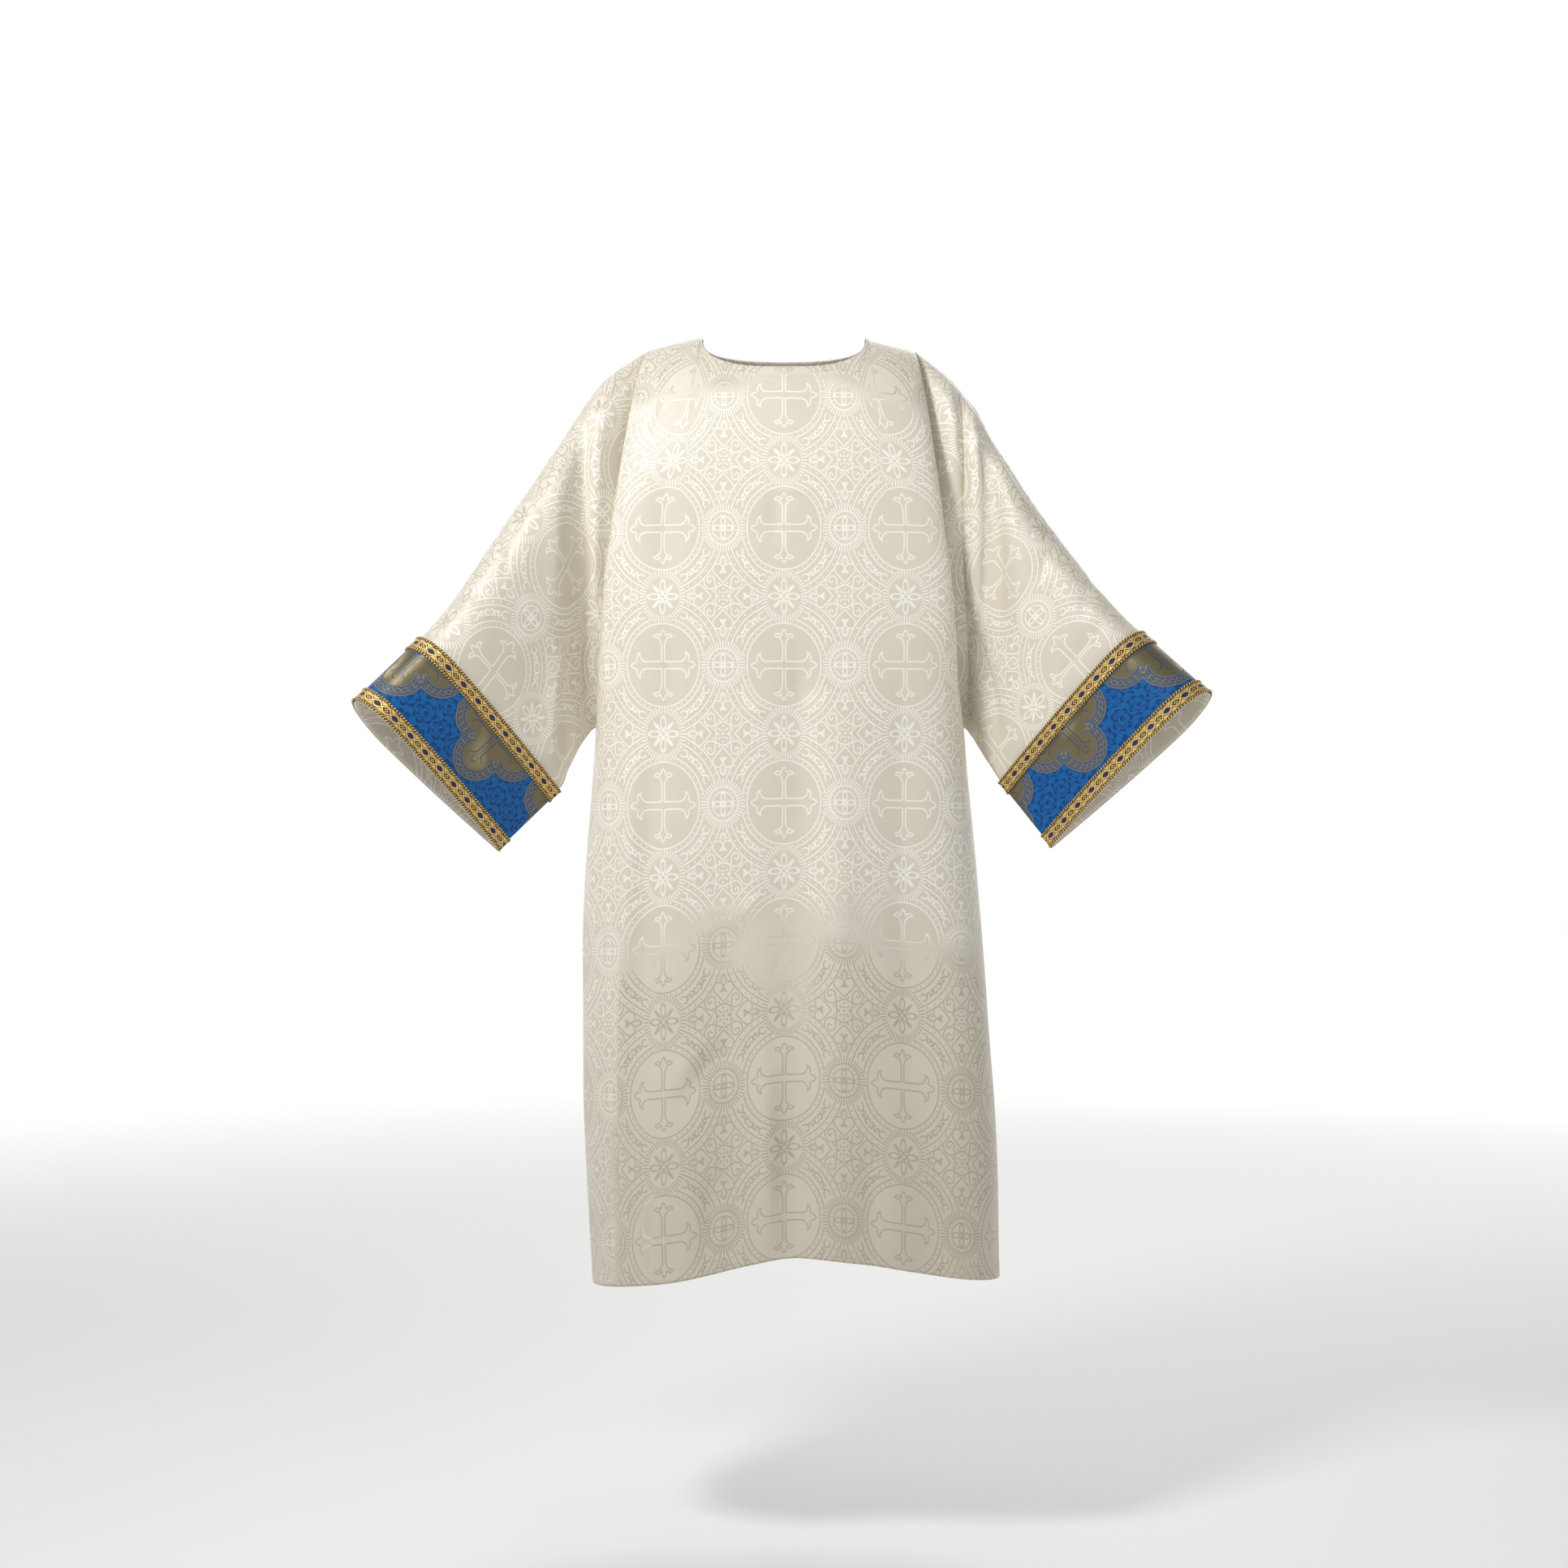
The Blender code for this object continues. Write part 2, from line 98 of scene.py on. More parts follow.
# One level of a body panel: half widths and depths from the middle plane, and how far the
# armhole edge is tucked in behind the fold that hangs from the shoulder
Level = namedtuple("Level", "height left right depth edge tuck_in tuck_back")
FRONT_LEVELS = [
    Level(-1.220, 0.245, 0.277, 0.165, 0.030, 0.000, 0.030),
    Level(-1.040, 0.257, 0.274, 0.158, 0.030, 0.000, 0.030),
    Level(-0.870, 0.260, 0.262, 0.150, 0.030, 0.000, 0.030),
    Level(-0.700, 0.256, 0.248, 0.141, 0.031, 0.000, 0.031),
    Level(-0.560, 0.246, 0.235, 0.133, 0.034, 0.000, 0.034),
    Level(-0.5056, 0.242, 0.230, 0.131, 0.038, 0.000, 0.038),
    Level(-0.450, 0.238, 0.222, 0.129, 0.062, 0.008, 0.038),
    Level(-0.380, 0.234, 0.218, 0.128, 0.082, 0.015, 0.036),
    Level(-0.310, 0.227, 0.211, 0.127, 0.092, 0.019, 0.034),
    Level(-0.260, 0.219, 0.203, 0.125, 0.095, 0.021, 0.034),
]
BACK_LEVELS = [
    Level(-1.220, 0.245, 0.277, 0.152, 0.030, 0.000, 0.030),
    Level(-1.040, 0.257, 0.274, 0.146, 0.030, 0.000, 0.030),
    Level(-0.870, 0.260, 0.262, 0.138, 0.030, 0.000, 0.030),
    Level(-0.700, 0.256, 0.248, 0.127, 0.031, 0.000, 0.031),
    Level(-0.560, 0.246, 0.235, 0.119, 0.034, 0.000, 0.034),
    Level(-0.5056, 0.242, 0.230, 0.118, 0.038, 0.000, 0.038),
    Level(-0.450, 0.238, 0.224, 0.119, 0.056, 0.007, 0.036),
    Level(-0.380, 0.235, 0.221, 0.121, 0.072, 0.012, 0.034),
    Level(-0.310, 0.230, 0.216, 0.122, 0.080, 0.015, 0.032),
    Level(-0.260, 0.224, 0.210, 0.120, 0.082, 0.016, 0.032),
]

# The hem's height at places across the body, from the viewer's left to right
HemPlace = namedtuple("HemPlace", "across front back")
HEM = [
    HemPlace(-1.00, -1.2205, -1.2205),
    HemPlace(-0.66, -1.2080, -1.2240),
    HemPlace(-0.38, -1.1940, -1.2200),
    HemPlace(0.04, -1.1728, -1.2130),
    HemPlace(0.36, -1.1797, -1.2160),
    HemPlace(0.70, -1.1975, -1.2180),
    HemPlace(1.00, -1.2105, -1.2105),
]

# Soft folds of the hanging body, each a trough or a ridge that grows towards the hem
Drape = namedtuple("Drape", "top_x top_z low_x low_z width rise")
FOLD_GROWTH = 1.6
FRONT_DRAPES = [
    Drape(-0.150, -0.50, -0.130, -1.22, 0.034, 0.006),
    Drape(-0.075, -0.62, -0.060, -1.22, 0.030, -0.007),
    Drape(0.020, -0.38, 0.000, -1.22, 0.030, -0.008),
    Drape(0.085, -0.42, 0.060, -1.22, 0.036, 0.007),
    Drape(0.170, -0.55, 0.185, -1.22, 0.034, -0.007),
]
BACK_DRAPES = [
    Drape(-0.140, -0.34, -0.165, -1.22, 0.034, 0.010),
    Drape(-0.085, -0.38, -0.095, -1.22, 0.032, -0.011),
    Drape(-0.020, -0.30, -0.015, -1.22, 0.034, 0.010),
    Drape(0.050, -0.36, 0.065, -1.22, 0.032, -0.011),
    Drape(0.120, -0.32, 0.145, -1.22, 0.034, 0.010),
]

# One ring of a sleeve, from its top to its low point, and how far it bellies to the front
# and to the back; the first ring is the armhole itself
Ring = namedtuple("Ring", "along top low front back seam")
RIGHT_RINGS = [
    Ring(0.000, (-0.180, 0.000, -0.017), (-0.2420, 0.000, -0.5056), 0.000, 0.000, 0.00),
    Ring(0.056, (-0.229, -0.019, -0.055), (-0.2515, -0.005, -0.511), 0.070, 0.064, 0.04),
    Ring(0.090, (-0.254, -0.032, -0.088), (-0.2560, -0.011, -0.517), 0.051, 0.046, 0.07),
    Ring(0.124, (-0.272, -0.043, -0.119), (-0.2600, -0.018, -0.523), 0.058, 0.052, 0.09),
    Ring(0.221, (-0.322, -0.071, -0.200), (-0.2655, -0.028, -0.533), 0.057, 0.048, 0.11),
    Ring(0.321, (-0.376, -0.100, -0.285), (-0.2710, -0.037, -0.546), 0.056, 0.045, 0.12),
    Ring(0.403, (-0.422, -0.127, -0.359), (-0.2795, -0.046, -0.565), 0.055, 0.044, 0.12),
    Ring(0.459, (-0.457, -0.145, -0.402), (-0.2895, -0.056, -0.588), 0.053, 0.044, 0.12),
    Ring(0.575, (-0.533, -0.180, -0.481), (-0.3650, -0.091, -0.664), 0.052, 0.044, 0.12),
]
LEFT_RINGS = [
    Ring(0.000, (0.170, 0.000, -0.019), (0.2300, 0.000, -0.5056), 0.000, 0.000, 0.00),
    Ring(0.050, (0.213, -0.016, -0.052), (0.2395, -0.005, -0.511), 0.070, 0.062, 0.04),
    Ring(0.072, (0.228, -0.024, -0.071), (0.2435, -0.010, -0.517), 0.052, 0.047, 0.06),
    Ring(0.104, (0.248, -0.035, -0.100), (0.2475, -0.016, -0.523), 0.066, 0.058, 0.08),
    Ring(0.142, (0.268, -0.049, -0.139), (0.2510, -0.022, -0.530), 0.054, 0.050, 0.09),
    Ring(0.216, (0.305, -0.071, -0.203), (0.2555, -0.029, -0.538), 0.058, 0.049, 0.11),
    Ring(0.319, (0.362, -0.100, -0.288), (0.2600, -0.036, -0.547), 0.057, 0.045, 0.12),
    Ring(0.398, (0.412, -0.127, -0.355), (0.2680, -0.045, -0.560), 0.055, 0.044, 0.12),
    Ring(0.452, (0.449, -0.145, -0.395), (0.2785, -0.055, -0.577), 0.053, 0.044, 0.12),
    Ring(0.568, (0.528, -0.180, -0.471), (0.3420, -0.091, -0.660), 0.052, 0.044, 0.12),
]

# The rounded top of a sleeve takes this share of its height, and its points crowd there
TOP_SHARE = 0.20
CROWDING = 1.8
HANG_POWER = 1.5
EDGE_SPREAD = 0.0014
ARMHOLE_STEP = 0.0004
ARMHOLE_TOP_SHARE = 0.15
SEAM_TURN = 0.0012

# Creases that lie on the main form, by their ends as seen from the front: half width, how far
# they rise or sink, and how far the line bows sideways between its ends
Crease = namedtuple("Crease", "top_x top_z low_x low_z width rise bow")
CREASE_FADE = 0.7
CREASE_SHARPNESS = 1.6
FRONT_CREASES = [
    Crease(-0.186, -0.53, -0.206, -1.02, 0.011, 0.0078, 0.004),
    Crease(-0.164, -0.50, -0.176, -0.98, 0.016, -0.0078, 0.003),
    Crease(-0.150, -0.19, -0.146, -0.35, 0.018, -0.0039, 0.002),
    Crease(-0.147, -0.37, -0.141, -0.53, 0.015, -0.0046, 0.000),
    Crease(-0.028, -0.2115, 0.038, -0.2115, 0.0045, 0.0023, 0.001),
    Crease(-0.010, -0.205, -0.012, -0.280, 0.012, -0.0033, 0.000),
    Crease(-0.047, -0.480, -0.019, -0.495, 0.0045, 0.0039, 0.001),
    Crease(0.010, -0.440, 0.040, -0.475, 0.012, -0.0033, 0.002),
    Crease(0.019, -0.39, 0.021, -0.64, 0.020, -0.0052, 0.003),
    Crease(0.074, -0.46, 0.070, -0.98, 0.024, 0.0059, 0.004),
    Crease(0.150, -0.42, 0.160, -1.05, 0.028, -0.0072, 0.004),
    Crease(-0.030, -0.900, -0.014, -0.945, 0.0070, 0.0034, 0.000),
    Crease(0.006, -0.895, -0.008, -0.945, 0.0070, 0.0031, 0.000),
    Crease(-0.022, -0.93, -0.017, -1.17, 0.012, 0.0078, 0.002),
    Crease(0.012, -0.95, 0.017, -1.17, 0.017, -0.0059, 0.002),
    Crease(-0.061, -0.900, -0.136, -1.000, 0.0120, -0.0044, 0.006),
    Crease(-0.079, -0.882, -0.154, -0.982, 0.0130, 0.0032, 0.006),
    Crease(-0.070, -0.757, -0.024, -0.714, 0.0090, 0.0034, 0.001),
    Crease(0.067, -0.525, 0.200, -0.524, 0.0035, -0.0013, 0.000),
    Crease(-0.120, -0.452, 0.000, -0.450, 0.0035, -0.0010, 0.000),
    Crease(-0.085, -1.060, -0.098, -1.190, 0.011, -0.0052, 0.002),
    Crease(-0.155, -1.080, -0.160, -1.210, 0.012, 0.0059, 0.002),
    Crease(0.105, -1.020, 0.118, -1.190, 0.014, -0.0046, 0.003),
    Crease(-0.140, -0.060, -0.168, -0.150, 0.006, -0.0023, 0.002),
]
BACK_CREASES = [
    Crease(-0.150, -0.10, -0.172, -0.62, 0.013, 0.0059, 0.004),
    Crease(-0.115, -0.22, -0.122, -0.90, 0.014, -0.0072, 0.005),
    Crease(-0.048, -0.30, -0.055, -1.05, 0.012, 0.0065, 0.003),
    Crease(0.016, -0.26, 0.010, -0.86, 0.012, -0.0065, 0.004),
    Crease(0.088, -0.24, 0.098, -1.10, 0.013, 0.0072, 0.004),
    Crease(0.155, -0.14, 0.176, -0.74, 0.014, -0.0065, 0.004),
    Crease(-0.190, -0.58, -0.196, -1.12, 0.013, -0.0065, 0.004),
    Crease(0.192, -0.56, 0.200, -1.08, 0.014, 0.0059, 0.003),
    Crease(-0.040, -0.120, 0.030, -0.123, 0.0045, 0.0021, 0.002),
    Crease(-0.118, -0.930, -0.060, -0.985, 0.0110, -0.0046, 0.004),
    Crease(0.026, -0.695, 0.070, -0.753, 0.0100, 0.0034, 0.002),
    Crease(-0.180, -0.610, -0.040, -0.612, 0.0035, -0.0013, 0.000),
]
RIGHT_CREASES = [
    Crease(-0.240, -0.090, -0.241, -0.410, 0.010, 0.0080, 0.002),
    Crease(-0.262, -0.120, -0.264, -0.520, 0.012, -0.0080, 0.002),
    Crease(-0.283, -0.150, -0.292, -0.400, 0.015, 0.0048, 0.003),
    Crease(-0.269, -0.385, -0.286, -0.575, 0.008, -0.0088, 0.004),
    Crease(-0.282, -0.400, -0.300, -0.570, 0.010, 0.0056, 0.003),
    Crease(-0.329, -0.340, -0.284, -0.410, 0.009, 0.0029, 0.002),
    Crease(-0.330, -0.230, -0.352, -0.330, 0.008, -0.0032, 0.002),
    Crease(-0.392, -0.330, -0.330, -0.400, 0.009, -0.0035, 0.003),
]
LEFT_CREASES = [
    Crease(0.240, -0.080, 0.242, -0.430, 0.010, 0.0088, 0.002),
    Crease(0.246, -0.110, 0.274, -0.420, 0.014, -0.0104, -0.006),
    Crease(0.272, -0.150, 0.312, -0.440, 0.018, 0.0064, -0.004),
    Crease(0.235, -0.350, 0.277, -0.530, 0.007, -0.0080, -0.004),
    Crease(0.252, -0.400, 0.262, -0.545, 0.008, 0.0064, 0.002),
    Crease(0.392, -0.320, 0.368, -0.376, 0.009, -0.0046, 0.001),
    Crease(0.345, -0.270, 0.318, -0.330, 0.008, -0.0035, 0.002),
    Crease(0.400, -0.380, 0.345, -0.455, 0.010, -0.0035, 0.003),
]

# The coarse net that lays a sleeve flat, and how often and how hard it is pulled
NET_ROWS = 16
NET_COLUMNS = 20
NET_PULLS = 3000
NET_STEP = 0.06
# Each link of the net, as rows down and columns along
NET_LINKS = ((1, 0), (0, 1), (1, 1), (1, -1), (2, 1), (1, 2), (2, -1), (1, -2))

# How the creases and the soft unevenness die out towards a sewn edge
EDGE_FADE = 0.022
CUFF_FADE = 0.030
UNEVEN_HEIGHT = 0.0016
UNEVEN_PITCH = 0.085
UNEVEN_DROP = 0.6
NOISE_SEEDS = {"front": 3.0, "back": 17.0, "sleeve_front": 29.0, "sleeve_back": 41.0}
PUCKER_HEIGHT = 0.0008
PUCKER_PITCH = 0.019
PUCKER_REACH = 0.012
# How far the puckers' spacing swings, as an angle, and how fast along the seam
PUCKER_SWING = 2.2
PUCKER_DRIFT = 31.0
SEAM_ROLL = 0.0006
SEAM_ROLL_WIDTH = 0.0045
TURNED_EDGE = 0.016
TURNED_RISE = 0.0004
TURNED_STEP = 0.003

# The damask's repeat, and where a roundel stands on each panel, in metres of flat cloth
REPEAT_WIDTH = 0.1535
REPEAT_LENGTH = 0.173
ROUNDEL_ABOVE_HEM = 0.052
# Where a sleeve's roundel stands, from the cuff and from the overarm seam, and how the map is
# shrunk and leant so that the sleeve's other roundel stands at its place too
Placing = namedtuple("Placing", "along down stretch lean")
SLEEVE_ROUNDEL = {
    -1: Placing(0.1308, 0.1195, 0.90, -0.1025),
    1: Placing(0.1400, 0.1005, 1.00, 0.0),
}

# Stitches: rods of thread that lie on the cloth
STITCH_LENGTH = 0.0026
STITCH_PITCH = 0.0034
STITCH_WIDTH = 0.0005
STITCH_TAPER = 0.6
# A rod's faces, by its corners: the first four at one end, the others at the other
ROD_FACES = ((0, 1, 2, 3), (7, 6, 5, 4), (0, 4, 5, 1), (1, 5, 6, 2), (2, 6, 7, 3), (3, 7, 4, 0))

# The braid's relief and the cord along its edges
BRAID_RISE = 0.0005
STRAND_SPREAD = 0.0013
BORDER_SPREAD = 0.0011
CORD_RADIUS = 0.0014
CORD_SIDES = 8

# The camera stands level in front, at the height that the picture's horizon shows
CAMERA_DISTANCE = 3.5
CAMERA_HEIGHT = -0.581
LENS = 61.5
FLOOR_HEIGHT = -1.56


def ease(t):
    """A soft rise from 0 at 0 to 1 at 1, level at both ends."""
    t = min(max(t, 0.0), 1.0)
    return t * t * (3.0 - 2.0 * t)


def ease_all(t):
    """The same for a whole array."""
    t = np.clip(t, 0.0, 1.0)
    return t * t * (3.0 - 2.0 * t)


def smooth_between(places, values, at):
    """A smooth curve through values, which stand at rising places, read at one place."""
    last = len(places) - 1
    if at <= places[0]:
        return values[0]
    if at >= places[last]:
        return values[last]
    i = max(k for k in range(last) if places[k] <= at)

    def slope(k):
        before = max(k - 1, 0)
        after = min(k + 1, last)
        return (values[after] - values[before]) * (1.0 / (places[after] - places[before]))

    span = places[i + 1] - places[i]
    t = (at - places[i]) / span
    rise = ease(t)
    lead = t * (1.0 - t) ** 2 * span
    trail = t * t * (t - 1.0) * span
    return values[i] * (1.0 - rise) + values[i + 1] * rise + slope(i) * lead + slope(i + 1) * trail


def read_row(rows, place_name, value_name, at):
    """One column of a table, read smoothly at a place between its rows."""
    places = [getattr(row, place_name) for row in rows]
    values = [getattr(row, value_name) for row in rows]
    return smooth_between(places, values, at)


class BodyPanel:
    """The front or the back, from hem to shoulder, as a surface of (side, across, up).

    across runs from 0 in the middle to 1 below the neck point, 2 at the fold that hangs from
    the shoulder and 3 at the armhole edge, which is the side seam below the armpit. up runs
    from 0 at the hem to 1 at the armpit and 2 at the shoulder line or the neckline.
    """

    def __init__(self, facing, levels, hem_column, drapes, neck_drop, squareness):
        self.facing = facing
        self.levels = levels
        self.hem_column = hem_column
        self.drapes = drapes
        self.neck_drop = neck_drop
        self.square = {-1: squareness.right, 1: squareness.left}

    def level_value(self, name, height):
        return read_row(self.levels, "height", name, height)

    def half_width(self, side, height):
        """Half the width on one side; the levels' left and right are the viewer's."""
        return self.level_value("left" if side < 0 else "right", height)

    def level_point(self, side, across, height):
        """A point of the body below the yoke."""
        half = self.half_width(side, height)
        depth = self.level_value("depth", height)
        edge = self.level_value("edge", height)
        if across <= 2.0:
            reach = NECK_HALF / (shoulder_half(side) - FOLD_INSET)
            turn = math.asin(reach)
            if across <= 1.0:
                angle = across * turn
            else:
                angle = turn + (across - 1.0) * (math.pi / 2 - turn)
            share = math.sin(angle)
            power = self.square[side]
            out = edge + (depth - edge) * max(1.0 - share ** power, 0.0) ** (1.0 / power)
            out += self.drape(side * half * share, height)
            return Vector((side * half * share, self.facing * out, height))
        t = across - 2.0
        inward = self.level_value("tuck_in", height) * t * t
        back = self.level_value("tuck_back", height) * t
        out = max(edge - back, SEAM_GAP / 2)
        return Vector((side * (half - inward), self.facing * out, height))

    def drape(self, x, z):
        """How far the hanging folds move the cloth out at one place."""
        total = 0.0
        for fold in self.drapes:
            t = (fold.top_z - z) / (fold.top_z - fold.low_z)
            if t > 0.0:
                middle = fold.top_x + (fold.low_x - fold.top_x) * t
                grown = ease(FOLD_GROWTH * t)
                total += fold.rise * grown * math.exp(-((x - middle) / fold.width) ** 2)
        return total

    def yoke_point(self, side, across, climb):
        """A point of the rounded top, from 0 at the yoke's base to 1 at its end."""
        base = self.level_point(side, across, YOKE_BASE)
        fold_half = shoulder_half(side) - FOLD_INSET
        if across <= 1.0:
            share = math.sin(across * math.pi / 2)
            end_x = NECK_HALF * share
            end_z = -self.neck_drop * max(1.0 - share ** NECK_POWER, 0.0) ** (1.0 / NECK_POWER)
        elif across <= 2.0:
            end_x = NECK_HALF + (fold_half - NECK_HALF) * (across - 1.0)
            end_z = ridge_height(end_x)
        else:
            end_x = fold_half + FOLD_INSET * (across - 2.0)
            end_z = ridge_height(end_x)
        ridge = max(ridge_height(end_x), end_z)
        rise = ridge - YOKE_BASE
        last_angle = math.asin(((end_z - YOKE_BASE) / rise) ** (YOKE_POWER / 2))
        angle = climb * last_angle
        z = YOKE_BASE + rise * math.sin(angle) ** (2 / YOKE_POWER)
        out = abs(base.y) * max(math.cos(angle), 0.0) ** (2 / YOKE_POWER)
        lean = climb * (1.0 + YOKE_LEAN * (1.0 - climb))
        x = abs(base.x) + (end_x - abs(base.x)) * lean
        return Vector((side * x, self.facing * max(out, RIDGE_GAP / 2), z))

    def point(self, side, across, up):
        """Any point of the panel: skirt, chest or yoke."""
        if up <= 1.0:
            lowest = HEM[0].front
            x = self.level_point(side, min(across, 2.0), lowest).x
            hem = read_row(HEM, "across", self.hem_column, x / self.half_width(side, lowest))
            return self.level_point(side, across, hem + (ARMPIT_HEIGHT - hem) * up)
        climb = up - 1.0
        if climb <= CHEST_SHARE:
            height = ARMPIT_HEIGHT + (YOKE_BASE - ARMPIT_HEIGHT) * climb / CHEST_SHARE
            return self.level_point(side, across, height)
        return self.yoke_point(side, across, (climb - CHEST_SHARE) / (1.0 - CHEST_SHARE))

    def outward(self, side, across, up):
        """The direction that points out of the cloth, away from the body."""
        low = self.point(side, across, max(up - NORMAL_STEP, 0.0))
        high = self.point(side, across, min(up + NORMAL_STEP, 2.0))
        inner = self.point(side, across - NORMAL_STEP, up)
        outer = self.point(side, min(across + NORMAL_STEP, 3.0), up)
        return ((high - low).cross(outer - inner) * side * self.facing).normalized()


def shoulder_half(side):
    """Half the width of the shoulders on one side, where its armhole starts."""
    rings = RIGHT_RINGS if side < 0 else LEFT_RINGS
    return abs(rings[0].top[0])


def ridge_height(x):
    """Height of the shoulder line at a distance from the middle."""
    if x < NECK_HALF:
        return COLLAR_RISE - COLLAR_SLOPE * x
    return -SHOULDER_SLOPE * (x - NECK_HALF)


class Sleeve:
    """One sleeve, as a surface of (around, along) for its front and its back half."""

    def __init__(self, side, rings, front, back):
        self.side = side
        self.rings = rings
        self.panels = {-1: front, 1: back}
        first = Vector(rings[-2].top) + Vector(rings[-2].low)
        last = Vector(rings[-1].top) + Vector(rings[-1].low)
        axis = (last - first).normalized()
        ahead = Vector((0.0, -1.0, 0.0))
        self.ahead = (ahead - axis * ahead.dot(axis)).normalized()
        self.cuff_start = rings[-2].along
        self.cuff_end = rings[-1].along

    def belly_direction(self, ring):
        """Forwards at the armhole, and square to the arm at the cuff."""
        share = ease(ring.along / self.cuff_start)
        return Vector((0.0, -1.0, 0.0)).lerp(self.ahead, share).normalized()

    def ring_point(self, ring, facing, turn):
        """A point of one ring: turn runs from 0 at the top to 1 at the low edge."""
        drop = turn ** CROWDING
        if drop < TOP_SHARE:
            belly = math.sqrt(1.0 - (1.0 - drop / TOP_SHARE) ** 2)
        else:
            belly = 1.0 - ((drop - TOP_SHARE) / (1.0 - TOP_SHARE)) ** HANG_POWER
        depth = ring.front if facing < 0 else ring.back
        out = depth * belly + EDGE_SPREAD * drop
        top = Vector(ring.top)
        low = Vector(ring.low)
        return top + (low - top) * drop - self.belly_direction(ring) * facing * out

    def armhole_point(self, facing, down):
        """The body's armhole edge, moved clear of it; down is 0 at the shoulder."""
        panel = self.panels[facing]
        edge = panel.point(self.side, 3.0, 2.0 - down)
        step = ARMHOLE_STEP * ease(down / ARMHOLE_TOP_SHARE)
        clear = panel.outward(self.side, 3.0, 2.0 - down) * step
        spread = facing * EDGE_SPREAD * down ** 3
        return edge + clear + Vector((self.side * SEAM_GAP * 2, spread, 0.0))

    def half_ring_point(self, ring, facing, down):
        """down runs from 0 at the overarm seam to 1 at the underarm seam."""
        if ring.along == 0.0:
            return self.armhole_point(facing, down)
        if facing < 0:
            first = ring.seam + SEAM_TURN
            return self.ring_point(ring, -1, first + (1.0 - first) * down)
        reach = (1.0 - down) * (1.0 + ring.seam - SEAM_TURN)
        if reach <= 1.0:
            return self.ring_point(ring, 1, 1.0 - reach)
        return self.ring_point(ring, -1, reach - 1.0)

    def line_along(self, facing, down, alongs):
        """The line that runs from armhole to cuff at one distance round the sleeve."""
        places = [ring.along for ring in self.rings]
        points = [self.half_ring_point(ring, facing, down) for ring in self.rings]
        line = []
        for along in alongs:
            if along > self.cuff_start:
                share = (along - self.cuff_start) / (self.cuff_end - self.cuff_start)
                line.append(points[-2].lerp(points[-1], share))
            else:
                line.append(smooth_between(places, points, along))
        return line


def steps_between(first, last, count):
    """Even steps from first to last, without last."""
    return [first + (last - first) * i / count for i in range(count)]


def body_grid(panel):
    """Points of a body panel, rows from hem to shoulder, columns so that the cloth faces out."""
    half = steps_between(0.0, 1.0, NECK_COLUMNS) + steps_between(1.0, 2.0, SHOULDER_COLUMNS)
    half += steps_between(2.0, 3.0, TUCK_COLUMNS) + [3.0]
    chest_top = 1.0 + CHEST_SHARE
    ups = steps_between(0.0, 1.0, SKIRT_ROWS) + steps_between(1.0, chest_top, CHEST_ROWS)
    ups += steps_between(chest_top, 2.0, YOKE_ROWS) + [2.0]
    columns = [(-1, across) for across in reversed(half)] + [(1, across) for across in half[1:]]
    if panel.facing > 0:
        columns.reverse()
    return np.array([[panel.point(side, across, up) for side, across in columns] for up in ups])


def sleeve_grid(sleeve, facing):
    """Points of half a sleeve, rows from overarm to underarm seam, columns along the arm."""
    alongs = [sleeve.cuff_end * i / SLEEVE_ROWS for i in range(SLEEVE_ROWS + 1)]
    downs = [i / SLEEVE_COLUMNS for i in range(SLEEVE_COLUMNS + 1)]
    points = np.array([sleeve.line_along(facing, down, alongs) for down in downs])
    return points, np.array(alongs)


def cuff_grid(sleeve, start, end, steps, columns, distance):
    """Closed rings round the cuff, from start to end, at a distance outside the sleeve."""
    alongs = [sleeve.cuff_start + start + (end - start) * k / steps for k in range(steps + 1)]
    front = [sleeve.line_along(-1, i / columns, alongs) for i in range(columns + 1)]
    back = [sleeve.line_along(1, i / columns, alongs) for i in range(columns, 0, -1)]
    points = np.array(front + back).transpose(1, 0, 2)
    if sleeve.side < 0:
        points = points[:, ::-1]
    return points + grid_normals(points, closed=True) * distance


def grid_normals(points, closed=False):
    """Unit normals of a grid, on the side where columns, then rows, turn anticlockwise."""
    if closed:
        across = np.roll(points, -1, axis=1) - np.roll(points, 1, axis=1)
    else:
        across = np.gradient(points, axis=1)
    up = np.gradient(points, axis=0)
    normals = np.cross(across, up)
    size = np.linalg.norm(normals, axis=2, keepdims=True)
    return normals / np.maximum(size, 1e-12)


def walked(points, axis, closed=False):
    """Distance walked from the first point of each line of the grid."""
    if closed:
        points = np.concatenate([points, points[:, :1]], axis=1)
    steps = np.linalg.norm(np.diff(points, axis=axis), axis=2)
    start = np.zeros_like(points[:1, :, 0] if axis == 0 else points[:, :1, 0])
    return np.concatenate([start, np.cumsum(steps, axis=axis)], axis=axis)


